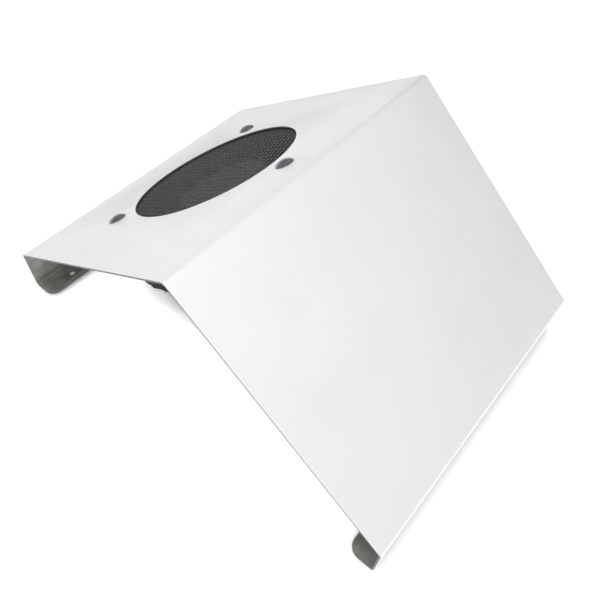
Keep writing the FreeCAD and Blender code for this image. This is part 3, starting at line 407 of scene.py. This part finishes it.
CAD_FINISHES = {
    rubber: ("rubber_pads",),
    foam: ("sealing_ring",),
    zinc: ("fan_washers", "fan_nuts", "outlet_guard", "guard_screws", "inlet_screws", "inlet_nuts",
           "earth_screw", "earth_nut", "rotor_can"),
    casting: ("fan_housing",),
    aluminium: ("bearing_tube",),
    steel: ("bearing_outer_races", "bearing_inner_races", "bearing_balls", "shaft", "shaft_circlip"),
    plates: ("stator_core", "rotor_cage"),
    copper: ("stator_windings",),
    nylon: ("fan_terminal_block", "power_inlet", "impeller"),
    gloss_nylon: ("switch_body", "switch_rocker"),
    contact: ("fan_terminal_pins", "inlet_pins", "switch_terminals", "earth_tag"),
    vinyl: ("lead_boots",),
    brown_pvc: ("live_lead",),
    blue_pvc: ("neutral_lead",),
    black_pvc: ("switched_lead",),
    earth_sleeve(): ("earth_lead",),
}
for material, names in CAD_FINISHES.items():
    for name in names:
        for held in nodes[name].material_slots:
            held.material = material


# ---------------------------------------------------------------- building meshes
def piece(name, mesh, materials, body, stands_for):
    """Links a finished mesh as a piece that rides on a body and stands for CAD nodes."""
    made = bpy.data.objects.new(name, mesh)
    scene.collection.objects.link(made)
    mesh.materials.clear()
    for material in materials:
        mesh.materials.append(material)
    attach(made, body)
    if stands_for:
        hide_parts(*stands_for)
    return made


def to_mesh(shape, name, smooth=True):
    """A bmesh's faces as a named mesh; the bmesh is freed."""
    mesh = bpy.data.meshes.new(name)
    shape.to_mesh(mesh)
    shape.free()
    for face in mesh.polygons:
        face.use_smooth = smooth
    return mesh


def baked(holder):
    """The holder's mesh with its modifiers applied; the holder is removed."""
    graph = bpy.context.evaluated_depsgraph_get()
    mesh = bpy.data.meshes.new_from_object(holder.evaluated_get(graph), depsgraph=graph)
    mesh.name = holder.name
    bpy.data.objects.remove(holder)
    return mesh


def held(name, mesh):
    """An object that holds a mesh while modifiers work on it."""
    holder = bpy.data.objects.new(name, mesh)
    scene.collection.objects.link(holder)
    return holder


def grown(tree, name, values):
    """A plain mesh made by a geometry node tree, whose inputs are given by name."""
    holder = held(name, bpy.data.meshes.new(name))
    modifier = holder.modifiers.new("make", "NODES")
    modifier.node_group = tree
    for item in tree.interface.items_tree:
        if item.in_out == "INPUT" and item.name in values:
            modifier[item.identifier] = values[item.name]
    return baked(holder)


def new_tree(name, inputs):
    """A geometry node tree with named inputs; returns it, its input node and its output node."""
    tree = bpy.data.node_groups.new(name, "GeometryNodeTree")
    for label, kind in inputs:
        tree.interface.new_socket(label, in_out="INPUT", socket_type=kind)
    tree.interface.new_socket("Geometry", in_out="OUTPUT", socket_type="NodeSocketGeometry")
    return tree, add(tree, "NodeGroupInput"), add(tree, "NodeGroupOutput")


def spun(profile, around):
    """A solid of revolution about Z from (radius, height) points, closed where the radius is 0."""
    shape = bmesh.new()
    rings = []
    for radius, height in profile:
        if radius == 0:
            rings.append([shape.verts.new((0, 0, height))])
            continue
        ring = []
        for i in range(around):
            angle = math.tau * i / around
            ring.append(shape.verts.new((radius * math.cos(angle), radius * math.sin(angle), height)))
        rings.append(ring)
    for low, high in zip(rings, rings[1:]):
        for i in range(around):
            j = (i + 1) % around
            corners = [low[i % len(low)], low[j % len(low)], high[j % len(high)], high[i % len(high)]]
            shape.faces.new(list(dict.fromkeys(corners)))
    bmesh.ops.recalc_face_normals(shape, faces=shape.faces)
    return shape


# ---------------------------------------------------------------- hood
def hood_outline():
    """The outline of the hood's outside in XZ, as runs between its corners, from foot to foot."""
    ridge = fan_centre + panel_up * FAN_TO_RIDGE
    back, front, floor = hood_low.x, hood_high.x, hood_low.z
    foot = 21 * MM
    corners = [(back + foot, floor), (back, floor), (back, BACK_CORNER_HEIGHT), (ridge.x, ridge.z),
               (front, FRONT_CORNER_HEIGHT), (front, floor), (front - foot, floor)]
    return [(Vector(a), Vector(b)) for a, b in zip(corners, corners[1:])]


def side_of_sheet(face, runs):
    """0 outside, 1 inside, 2 cut edge: from the face's turn against the nearest run of the outline."""
    centre = face.calc_center_median()
    point = Vector((centre.x, centre.z))
    nearest = None
    for start, end in runs:
        along = end - start
        share = max(0.0, min(1.0, (point - start).dot(along) / along.length_squared))
        away = (point - start - along * share).length
        if nearest is None or away < nearest[0]:
            nearest = (away, Vector((-along.y, along.x)).normalized())
    facing = Vector((face.normal.x, face.normal.z)).dot(nearest[1])
    return 0 if facing > 0.6 else 1 if facing < -0.6 else 2


def folded_hood():
    """The folded sheet with its edges broken, painted outside, bare inside and on its cut edges."""
    shape = bmesh.new()
    shape.from_mesh(nodes["hood_shell"].data)
    bmesh.ops.remove_doubles(shape, verts=shape.verts, dist=0.002 * MM)
    holder = held("hood_sheet", to_mesh(shape, "hood_sheet"))
    bevel = holder.modifiers.new("edges", "BEVEL")
    bevel.width = EDGE_ROUND
    bevel.segments = 2
    bevel.limit_method = "ANGLE"
    bevel.angle_limit = math.radians(35)
    bevel.use_clamp_overlap = False
    bevel.harden_normals = True
    mesh = baked(holder)
    shape = bmesh.new()
    shape.from_mesh(mesh)
    runs = hood_outline()
    sides = [side_of_sheet(face, runs) for face in shape.faces]
    shape.free()
    made = piece("hood_sheet", mesh, (coat, inside, cut), "hood", ("hood_shell",))
    for face, side in zip(mesh.polygons, sides):
        face.material_index = side
    return made


# ---------------------------------------------------------------- intake mesh
def expanded_metal_tree():
    """Strands of expanded metal: one tilted bar between each two bonds, kept inside a disc."""
    tree, given, out = new_tree("expanded_metal", [
        ("Short way", "NodeSocketFloat"), ("Long way", "NodeSocketFloat"), ("Radius", "NodeSocketFloat"),
        ("Strand width", "NodeSocketFloat"), ("Strand thickness", "NodeSocketFloat"),
        ("Tilt", "NodeSocketFloat"), ("Paint", "NodeSocketMaterial")])
    value = given.outputs

    def sum_of(operation, first, second=0.0):
        return add(tree, "ShaderNodeMath", {"operation": operation}, {0: first, 1: second}).outputs[0]

    step_x = sum_of("MULTIPLY", value["Short way"], 0.5)
    step_y = sum_of("MULTIPLY", value["Long way"], 0.5)
    counts = []
    for step in (step_x, step_y):
        half = sum_of("CEIL", sum_of("DIVIDE", value["Radius"], step))
        counts.append(sum_of("MULTIPLY", half, 2.0))
    spans = [sum_of("MULTIPLY", step, sum_of("SUBTRACT", count, 1.0))
             for step, count in zip((step_x, step_y), counts)]
    grid = add(tree, "GeometryNodeMeshGrid", None, {
        "Size X": spans[0], "Size Y": spans[1], "Vertices X": counts[0], "Vertices Y": counts[1]})
    place = add(tree, "GeometryNodeInputPosition").outputs[0]
    axes = add(tree, "ShaderNodeSeparateXYZ", None, {0: place}).outputs
    cells = [sum_of("FLOOR", sum_of("DIVIDE", axes[i], step)) for i, step in enumerate((step_x, step_y))]
    odd = sum_of("FLOORED_MODULO", sum_of("ADD", cells[0], cells[1]), 2.0)
    lean = sum_of("ARCTAN2", value["Short way"], value["Long way"])
    turn = sum_of("MULTIPLY", lean, sum_of("SUBTRACT", 1.0, sum_of("MULTIPLY", odd, 2.0)))
    length = add(tree, "ShaderNodeVectorMath", {"operation": "LENGTH"}, {0: place}).outputs["Value"]
    inside_disc = add(tree, "FunctionNodeCompare", {"operation": "LESS_THAN"},
                      {0: length, 1: sum_of("SUBTRACT", value["Radius"], step_y)}).outputs[0]

    diagonal = sum_of("POWER", sum_of("ADD", sum_of("POWER", step_x, 2.0), sum_of("POWER", step_y, 2.0)), 0.5)
    reach = sum_of("MULTIPLY", sum_of("ADD", diagonal, sum_of("MULTIPLY", value["Strand width"], 0.5)), 0.5)
    ends = [add(tree, "ShaderNodeCombineXYZ", None, {1: sum_of("MULTIPLY", reach, sign)}).outputs[0]
            for sign in (-1.0, 1.0)]
    line = add(tree, "GeometryNodeCurvePrimitiveLine", None, {"Start": ends[0], "End": ends[1]}).outputs[0]
    section = add(tree, "GeometryNodeCurvePrimitiveQuadrilateral", None, {
        "Width": value["Strand width"], "Height": value["Strand thickness"]}).outputs[0]
    corner = sum_of("MULTIPLY", value["Strand thickness"], 0.22)
    section = add(tree, "GeometryNodeFilletCurve", None, {0: section, "Radius": corner}).outputs[0]
    bar = add(tree, "GeometryNodeCurveToMesh", None, {"Curve": line, "Profile Curve": section,
                                                      "Fill Caps": True}).outputs[0]
    spin_bar = add(tree, "ShaderNodeCombineXYZ", None, {1: value["Tilt"]}).outputs[0]
    bar = add(tree, "GeometryNodeTransform", None, {"Geometry": bar, "Rotation": spin_bar}).outputs[0]
    facing = add(tree, "ShaderNodeCombineXYZ", None, {2: turn}).outputs[0]
    bars = add(tree, "GeometryNodeInstanceOnPoints", None, {
        "Points": grid.outputs["Mesh"], "Selection": inside_disc, "Instance": bar, "Rotation": facing})
    whole = add(tree, "GeometryNodeRealizeInstances", None, {0: bars.outputs[0]}).outputs[0]
    whole = add(tree, "GeometryNodeSetMaterial", None, {"Geometry": whole, "Material": value["Paint"]})
    tree.links.new(whole.outputs[0], out.inputs[0])
    return tree


def intake_disc():
    """The expanded-metal disc, just under the top panel."""
    mesh = grown(expanded_metal_tree(), "intake_strands", {
        "Short way": SHORT_WAY, "Long way": LONG_WAY, "Radius": MESH_RADIUS, "Strand width": STRAND_WIDTH,
        "Strand thickness": STRAND_THICKNESS, "Tilt": math.radians(STRAND_TILT), "Paint": enamel})
    mesh.transform(on_panel @ Matrix.Translation((0, 0, -(MESH_TOP + MESH_DEPTH / 2))))
    return piece("intake_strands", mesh, (enamel,), "hood", ("intake_mesh",))


# ---------------------------------------------------------------- bolts
def bolt_profile():
    """Half outline of a domed bolt: the crown, its thin rim, and the thread's ridges to a chamfered end."""
    rim = 0.45 * MM
    crown = HEAD_HEIGHT - rim
    ball = (HEAD_RADIUS ** 2 + crown ** 2) / (2 * crown)
    widest = math.asin(HEAD_RADIUS / ball)
    steps = 14
    profile = [(0, HEAD_HEIGHT)]
    for i in range(1, steps + 1):
        angle = widest * i / steps
        profile.append((ball * math.sin(angle), HEAD_HEIGHT - ball * (1 - math.cos(angle))))
    profile += [(HEAD_RADIUS, 0.1 * MM), (HEAD_RADIUS - 0.12 * MM, 0), (THREAD_OUTER, 0)]
    height = -NECK_DEPTH
    profile.append((THREAD_OUTER, height))
    while height > -BOLT_LENGTH + 2 * THREAD_PITCH:
        profile += [(THREAD_INNER, height - THREAD_PITCH / 2), (THREAD_OUTER, height - THREAD_PITCH)]
        height -= THREAD_PITCH
    tip = -BOLT_LENGTH
    return profile + [(THREAD_INNER, tip + THREAD_PITCH / 2), (THREAD_INNER * 0.8, tip), (0, tip)]


def domed_bolts():
    """Three domed bolts with square necks, one towards the ridge and two towards the back."""
    whole = bmesh.new()
    for i in range(BOLT_COUNT):
        angle = math.tau * i / BOLT_COUNT
        there = Matrix.Translation((BOLT_CIRCLE * math.cos(angle), BOLT_CIRCLE * math.sin(angle), 0))
        bolt = spun(bolt_profile(), 48)
        bmesh.ops.transform(bolt, matrix=there, verts=bolt.verts)
        mesh = to_mesh(bolt, "bolt")
        whole.from_mesh(mesh)
        bpy.data.meshes.remove(mesh)
        size = Matrix.Diagonal((NECK, NECK, NECK_DEPTH, 1))
        low = Matrix.Translation((0, 0, -NECK_DEPTH / 2 - 0.02 * MM))
        bmesh.ops.create_cube(whole, size=1, matrix=there @ low @ size)
    mesh = to_mesh(whole, "domed_bolts")
    mesh.set_sharp_from_angle(angle=math.radians(34))
    mesh.transform(on_panel)
    return piece("domed_bolts", mesh, (zinc,), "hood", ("fan_bolts",))


folded_hood()
intake_disc()
domed_bolts()


# ---------------------------------------------------------------- dust bag
def bag_ring(share):
    """A ring of the bag `share` of the way from its mouth to its tail: low and high point, half width."""
    mouth = [on_panel @ Vector((side * CUFF_RADIUS, 0, CUFF_BOTTOM)) for side in (-1, 1)]
    rear, front = mouth
    tail = bag_high.x - SEAM_STRIP
    run, rise, floor = tail - rear.x, front.z - rear.z, bag_low.z + BAG_FLOOR
    places = [(0.0, rear, front, CUFF_RADIUS)]
    for place, along, forward, height, half in BAG_SECTIONS:
        under = Vector((rear.x + along * run, 0, floor))
        places.append((place, under, Vector((front.x + forward, 0, rear.z + height * rise)), half))
    places.append((1.0, Vector((tail, 0, floor + 2 * MM)), Vector((tail, 0, floor + 4 * MM)), BAG_TAIL_HALF))
    i = max(k for k in range(len(places) - 1) if places[k][0] <= share)
    a, b = places[i], places[i + 1]
    t = (share - a[0]) / (b[0] - a[0])
    before, after = places[max(i - 1, 0)], places[min(i + 2, len(places) - 1)]

    def smooth(k):
        """Catmull-Rom between the two nearest of the five settled sections."""
        p0, p1, p2, p3 = before[k], a[k], b[k], after[k]
        return ((p1 * 2) + (p2 - p0) * t + (p0 * 2 - p1 * 5 + p2 * 4 - p3) * t * t
                + (p1 * 3 - p0 - p2 * 3 + p3) * t ** 3) * 0.5
    return smooth(1), smooth(2), smooth(3)


def bag_shape():
    """The bag's cloth before it settles: the sleeve over the rim, the body and the sewn tail strip."""
    shape = bmesh.new()
    uv = shape.loops.layers.uv.new("cloth")
    rings, lengths, run = [], [], 0.0
    sleeve = 5

    def ring_of(points):
        rings.append([shape.verts.new(p) for p in points])

    angles = [math.tau * i / BAG_AROUND for i in range(BAG_AROUND)]
    for k in range(sleeve):
        height = CUFF_TOP + (CUFF_BOTTOM - CUFF_TOP) * k / sleeve
        ring_of([on_panel @ Vector((-CUFF_RADIUS * math.cos(a), CUFF_RADIUS * math.sin(a), height))
                 for a in angles])
    for k in range(BAG_ALONG + 1):
        low, high, half = bag_ring(k / BAG_ALONG)
        centre, across = (low + high) / 2, (low - high) / 2
        ring_of([centre + across * math.cos(a) + Vector((0, half * math.sin(a), 0)) for a in angles])
    tail_low, tail_high, tail_half = bag_ring(1.0)
    for k in (1, 2):
        forward = Vector((SEAM_STRIP * k / 2, 0, 0))
        centre = (tail_low + tail_high) / 2 + forward
        thin = Vector((0, 0, 0.75 * MM))
        ring_of([centre - thin * math.cos(a) + Vector((0, tail_half * math.sin(a), 0)) for a in angles])
    for a, b in zip(rings, rings[1:]):
        lengths.append(run)
        run += sum((p.co - q.co).length for p, q in zip(a, b)) / BAG_AROUND
    lengths.append(run)
    girth = math.tau * CUFF_RADIUS
    for k in range(len(rings) - 1):
        for i in range(BAG_AROUND):
            j = (i + 1) % BAG_AROUND
            face = shape.faces.new((rings[k][i], rings[k + 1][i], rings[k + 1][j], rings[k][j]))
            for loop, (u, v) in zip(face.loops, ((i, k), (i, k + 1), (i + 1, k + 1), (i + 1, k))):
                loop[uv].uv = (girth * u / BAG_AROUND, lengths[v])
    last = rings[-1]
    for i in range(1, BAG_AROUND // 2):
        a, b = last[i], last[-i]
        c, d = last[i + 1], last[-(i + 1)]
        corners = list(dict.fromkeys((a, c, d, b)))
        if len(corners) > 2:
            shape.faces.new(corners)
    shape.faces.new((last[0], last[1], last[-1]))
    bmesh.ops.recalc_face_normals(shape, faces=shape.faces)
    held_rows = (sleeve + 1) * BAG_AROUND
    return to_mesh(shape, "dust_bag_cloth"), held_rows


def settle(mesh, pinned):
    """Lets the cloth sag and wrinkle from its cut shape, with its sleeve and its tail held."""
    rest = [v.co.copy() for v in mesh.vertices]
    holder = held("settling_cloth", mesh.copy())
    tail_edge = bag_high.x - SEAM_STRIP * 1.2
    fixed = holder.vertex_groups.new(name="held")
    fixed.add([i for i, co in enumerate(rest) if i < pinned or co.x > tail_edge], 1.0, "REPLACE")
    sim = holder.modifiers.new("cloth", "CLOTH")
    sim.settings.quality = 6
    sim.settings.mass = 0.12
    sim.settings.tension_stiffness = 18
    sim.settings.compression_stiffness = 12
    sim.settings.shear_stiffness = 6
    sim.settings.bending_stiffness = 0.35
    sim.settings.vertex_group_mass = "held"
    sim.settings.shrink_min = -0.035
    sim.settings.use_pressure = True
    sim.settings.uniform_pressure_force = 0.35
    sim.settings.effector_weights.gravity = 0.5
    sim.point_cache.frame_start, sim.point_cache.frame_end = 1, SETTLE_FRAMES
    for number in range(1, SETTLE_FRAMES + 1):
        scene.frame_set(number)
    graph = bpy.context.evaluated_depsgraph_get()
    moved = [v.co.copy() for v in holder.evaluated_get(graph).data.vertices]
    scene.frame_set(1)
    bpy.data.objects.remove(holder)
    return rest, moved


def bag_wrinkles(mesh):
    """Small creases where the cloth bunches under the elastic, dying away down the bag."""
    mouth = on_panel @ Vector((0, 0, CUFF_BOTTOM))
    for vertex in mesh.vertices:
        down = -(vertex.co - mouth).dot(panel_normal)
        if down < 0:
            continue
        local = on_panel.inverted() @ vertex.co
        angle = math.atan2(local.y, local.x)
        fade = min(1.0, down / (3 * MM)) * math.exp(-down / (16 * MM))
        drift = noise.noise(Vector((math.cos(angle) * 3, math.sin(angle) * 3, down / (30 * MM))))
        outward = Vector((local.x, local.y, 0)).normalized()
        vertex.co += (on_panel.to_3x3() @ outward) * (0.9 * MM * fade * math.cos(38 * angle + 5 * drift))


def dust_bag():
    """The cloth bag: sleeve, body and sewn tail in one piece of filter cloth."""
    mesh, pinned = bag_shape()
    floor = bag_low.z + 0.6 * MM
    rest, moved = settle(mesh, pinned)
    for vertex, start, end in zip(mesh.vertices, rest, moved):
        travel = end - start
        if travel.length > BAG_TRAVEL:
            travel *= BAG_TRAVEL / travel.length
        vertex.co = start + travel
    bag_wrinkles(mesh)
    for vertex in mesh.vertices:
        vertex.co.z = max(vertex.co.z, floor)
    holder = held("dust_bag_cloth", mesh)
    thick = holder.modifiers.new("thickness", "SOLIDIFY")
    thick.thickness = CLOTH
    thick.offset = -1.0
    mesh = baked(holder)
    for face in mesh.polygons:
        face.use_smooth = True
    return piece("dust_bag_cloth", mesh, (cloth,), "bag", ("dust_bag", "bag_cuff"))


def elastic_band():
    """Ribbed elastic that holds the sleeve on the rim, gathered all round by its own pull."""
    shape = bmesh.new()
    uv = shape.loops.layers.uv.new("cloth")
    around, ruches = 720, 96
    top = CUFF_TOP - 0.5 * MM
    section = [(0.0, 0.0), (0.0, -1.0), (0.55, -1.0), (1.0, -0.88), (1.0, -0.12), (0.55, 0.0)]
    rings = []
    for i in range(around):
        angle = math.tau * i / around
        swell = 0.5 + 0.5 * math.cos(ruches * angle + 1.5 * math.sin(7 * angle))
        ring = []
        for out, down in section:
            radius = CUFF_RADIUS + 0.02 * MM + out * (ELASTIC_THICKNESS * (0.55 + 0.45 * swell))
            spot = Vector((radius * math.cos(angle), radius * math.sin(angle), top + down * ELASTIC_WIDTH))
            ring.append(shape.verts.new(on_panel @ spot))
        rings.append(ring)
    girth = math.tau * CUFF_RADIUS
    for i in range(around):
        a, b = rings[i], rings[(i + 1) % around]
        for k in range(len(section)):
            m = (k + 1) % len(section)
            face = shape.faces.new((a[k], b[k], b[m], a[m]))
            for loop, (u, v) in zip(face.loops, ((i, k), (i + 1, k), (i + 1, k + 1), (i, k + 1))):
                loop[uv].uv = (girth * u / around, ELASTIC_WIDTH * v / len(section))
    bmesh.ops.recalc_face_normals(shape, faces=shape.faces)
    mesh = to_mesh(shape, "elastic_band")
    mesh.set_sharp_from_angle(angle=math.radians(50))
    return piece("elastic_band", mesh, (elastic,), "bag", ("bag_elastic",))


def stitch_tree():
    """Stitches along a path: one flattened capsule every pitch, lying along the path."""
    tree, given, out = new_tree("stitches", [
        ("Path", "NodeSocketObject"), ("Pitch", "NodeSocketFloat"), ("Stitch", "NodeSocketFloat"),
        ("Thread radius", "NodeSocketFloat"), ("Thread", "NodeSocketMaterial")])
    value = given.outputs
    path = add(tree, "GeometryNodeObjectInfo", {"transform_space": "RELATIVE"}, {"Object": value["Path"]})
    points = add(tree, "GeometryNodeCurveToPoints", {"mode": "LENGTH"},
                 {"Curve": path.outputs["Geometry"], "Length": value["Pitch"]})
    ball = add(tree, "GeometryNodeMeshUVSphere", None, {"Segments": 6, "Rings": 5, "Radius": 1.0}).outputs[0]
    half = add(tree, "ShaderNodeMath", {"operation": "MULTIPLY"}, {0: value["Stitch"], 1: 0.5}).outputs[0]
    size = add(tree, "ShaderNodeCombineXYZ", None, {
        0: value["Thread radius"], 1: value["Thread radius"], 2: half}).outputs[0]
    ball = add(tree, "GeometryNodeTransform", None, {"Geometry": ball, "Scale": size}).outputs[0]
    laid = add(tree, "GeometryNodeInstanceOnPoints", None, {
        "Points": points.outputs["Points"], "Instance": ball, "Rotation": points.outputs["Rotation"]})
    whole = add(tree, "GeometryNodeRealizeInstances", None, {0: laid.outputs[0]}).outputs[0]
    whole = add(tree, "GeometryNodeSetMaterial", None, {"Geometry": whole, "Material": value["Thread"]})
    tree.links.new(whole.outputs[0], out.inputs[0])
    return tree


def path_through(name, points, closed):
    """A poly curve through points, which guides stitches and is removed afterwards."""
    curve = bpy.data.curves.new(name, "CURVE")
    curve.dimensions = "3D"
    line = curve.splines.new("POLY")
    line.points.add(len(points) - 1)
    for spot, point in zip(line.points, points):
        spot.co = (*point, 1)
    line.use_cyclic_u = closed
    return held(name, curve)


def bag_stitches():
    """Two rows of stitches: round the sleeve under the elastic, and across the tail strip."""
    sleeve = []
    for i in range(180):
        angle = math.tau * i / 180
        radius = CUFF_RADIUS + 0.15 * MM
        height = CUFF_TOP - ELASTIC_WIDTH - 1.4 * MM
        sleeve.append(on_panel @ Vector((radius * math.cos(angle), radius * math.sin(angle), height)))
    low, high, half = bag_ring(1.0)
    middle = (low + high) / 2
    across = []
    for i in range(41):
        y = half * 0.94 * (i / 20 - 1)
        lift = 0.75 * MM * math.sqrt(1 - (y / half) ** 2) + 0.1 * MM
        across.append(middle + Vector((SEAM_STRIP * 0.62, y, lift)))
    tree = stitch_tree()
    whole = bmesh.new()
    for name, points, closed in (("sleeve_row", sleeve, True), ("tail_row", across, False)):
        path = path_through(name, points, closed)
        mesh = grown(tree, name + "_stitches", {
            "Path": path, "Pitch": 3.4 * MM, "Stitch": 2.6 * MM,
            "Thread radius": 0.28 * MM, "Thread": thread})
        whole.from_mesh(mesh)
        bpy.data.objects.remove(path)
    mesh = to_mesh(whole, "bag_stitches")
    return piece("bag_stitches", mesh, (thread,), "bag", ())


bag = dust_bag()
band = elastic_band()
stitches = bag_stitches()


# ---------------------------------------------------------------- stage, light and camera
def floor_and_light():
    """A pale floor that glows as painted light, its glow fading as a painted shadow round what touches it; a
    white surround and three soft boxes.
    """
    shape = bmesh.new()
    bmesh.ops.create_grid(shape, x_segments=1, y_segments=1, size=6.0)
    table = held("floor", to_mesh(shape, "floor"))
    paper = finish(
        "pale_floor",
        lambda t: (grain(t, 400 * MM), "FBFBFB", "F7F7F7"),
        lambda t: grain(t, 200 * MM, 0.75, 0.85),
        # painted light: the floor is given a white emission, so it glows though it is no lamp
        specular_ior_level=0.1, emission_color=colour("FFFFFF"))
    tree = paper.node_tree
    # painted shadow: ambient occlusion within reach of the hood and feet turns the glow down, a darker halo
    # round them
    sky = add(tree, "ShaderNodeAmbientOcclusion", {"samples": 16}, {"Distance": PAINTED_SHADOW_REACH}).outputs["AO"]
    glow = add(tree, "ShaderNodeMapRange", None, {
        "Value": sky, "From Min": 0.5, "From Max": 1.0, "To Min": 0.0, "To Max": PAINTED_FLOOR_GLOW})
    tree.links.new(glow.outputs["Result"], tree.nodes["Principled BSDF"].inputs["Emission Strength"])
    table.data.materials.append(paper)
    world = bpy.data.worlds.new("surround")
    world.use_nodes = True
    world.node_tree.nodes["Background"].inputs["Color"].default_value = (1, 1, 1, 1)
    world.node_tree.nodes["Background"].inputs["Strength"].default_value = 0.54
    scene.world = world
    middle = (cad_low + cad_high) / 2
    for name, offset, size, power in (
            ("key", (0.13, -0.3, 0.72), 0.6, 2.6),
            ("slope_fill", (0.85, -0.6, 0.75), 0.8, 1.0),
            ("back_fill", (-0.8, 0.9, 1.0), 1.0, 0.2)):
        light = bpy.data.lights.new(name, "AREA")
        light.shape = "DISK"
        light.size = size
        light.energy = power
        lamp = held(name, light)
        lamp.location = middle + Vector(offset)
        lamp.rotation_mode = "QUATERNION"
        lamp.rotation_quaternion = (middle - lamp.location).to_track_quat("-Z", "Y")


def make_camera():
    """The view from above the near end of the long slope, a little tilted."""
    azimuth, elevation, roll = (math.radians(a) for a in (36.76, 53.85, -3.79))
    aim = Vector((10.77 * MM, 0, 16.16 * MM))
    back = Vector((math.sin(azimuth) * math.cos(elevation), -math.cos(azimuth) * math.cos(elevation),
                   math.sin(elevation)))
    level = Vector((0, 0, 1)).cross(back).normalized()
    up = back.cross(level) * math.cos(roll) + level * math.sin(roll)
    right = up.cross(back)
    data = bpy.data.cameras.new("camera")
    data.sensor_width = 36.0
    data.lens = 36.46
    data.clip_start, data.clip_end = 0.01, 50.0
    camera = held("camera", data)
    turn = Matrix((right, up, back)).transposed().to_4x4()
    camera.matrix_world = Matrix.Translation(aim + back * CAMERA_DISTANCE) @ turn
    scene.camera = camera


floor_and_light()
make_camera()
scene.view_settings.view_transform = "Standard"
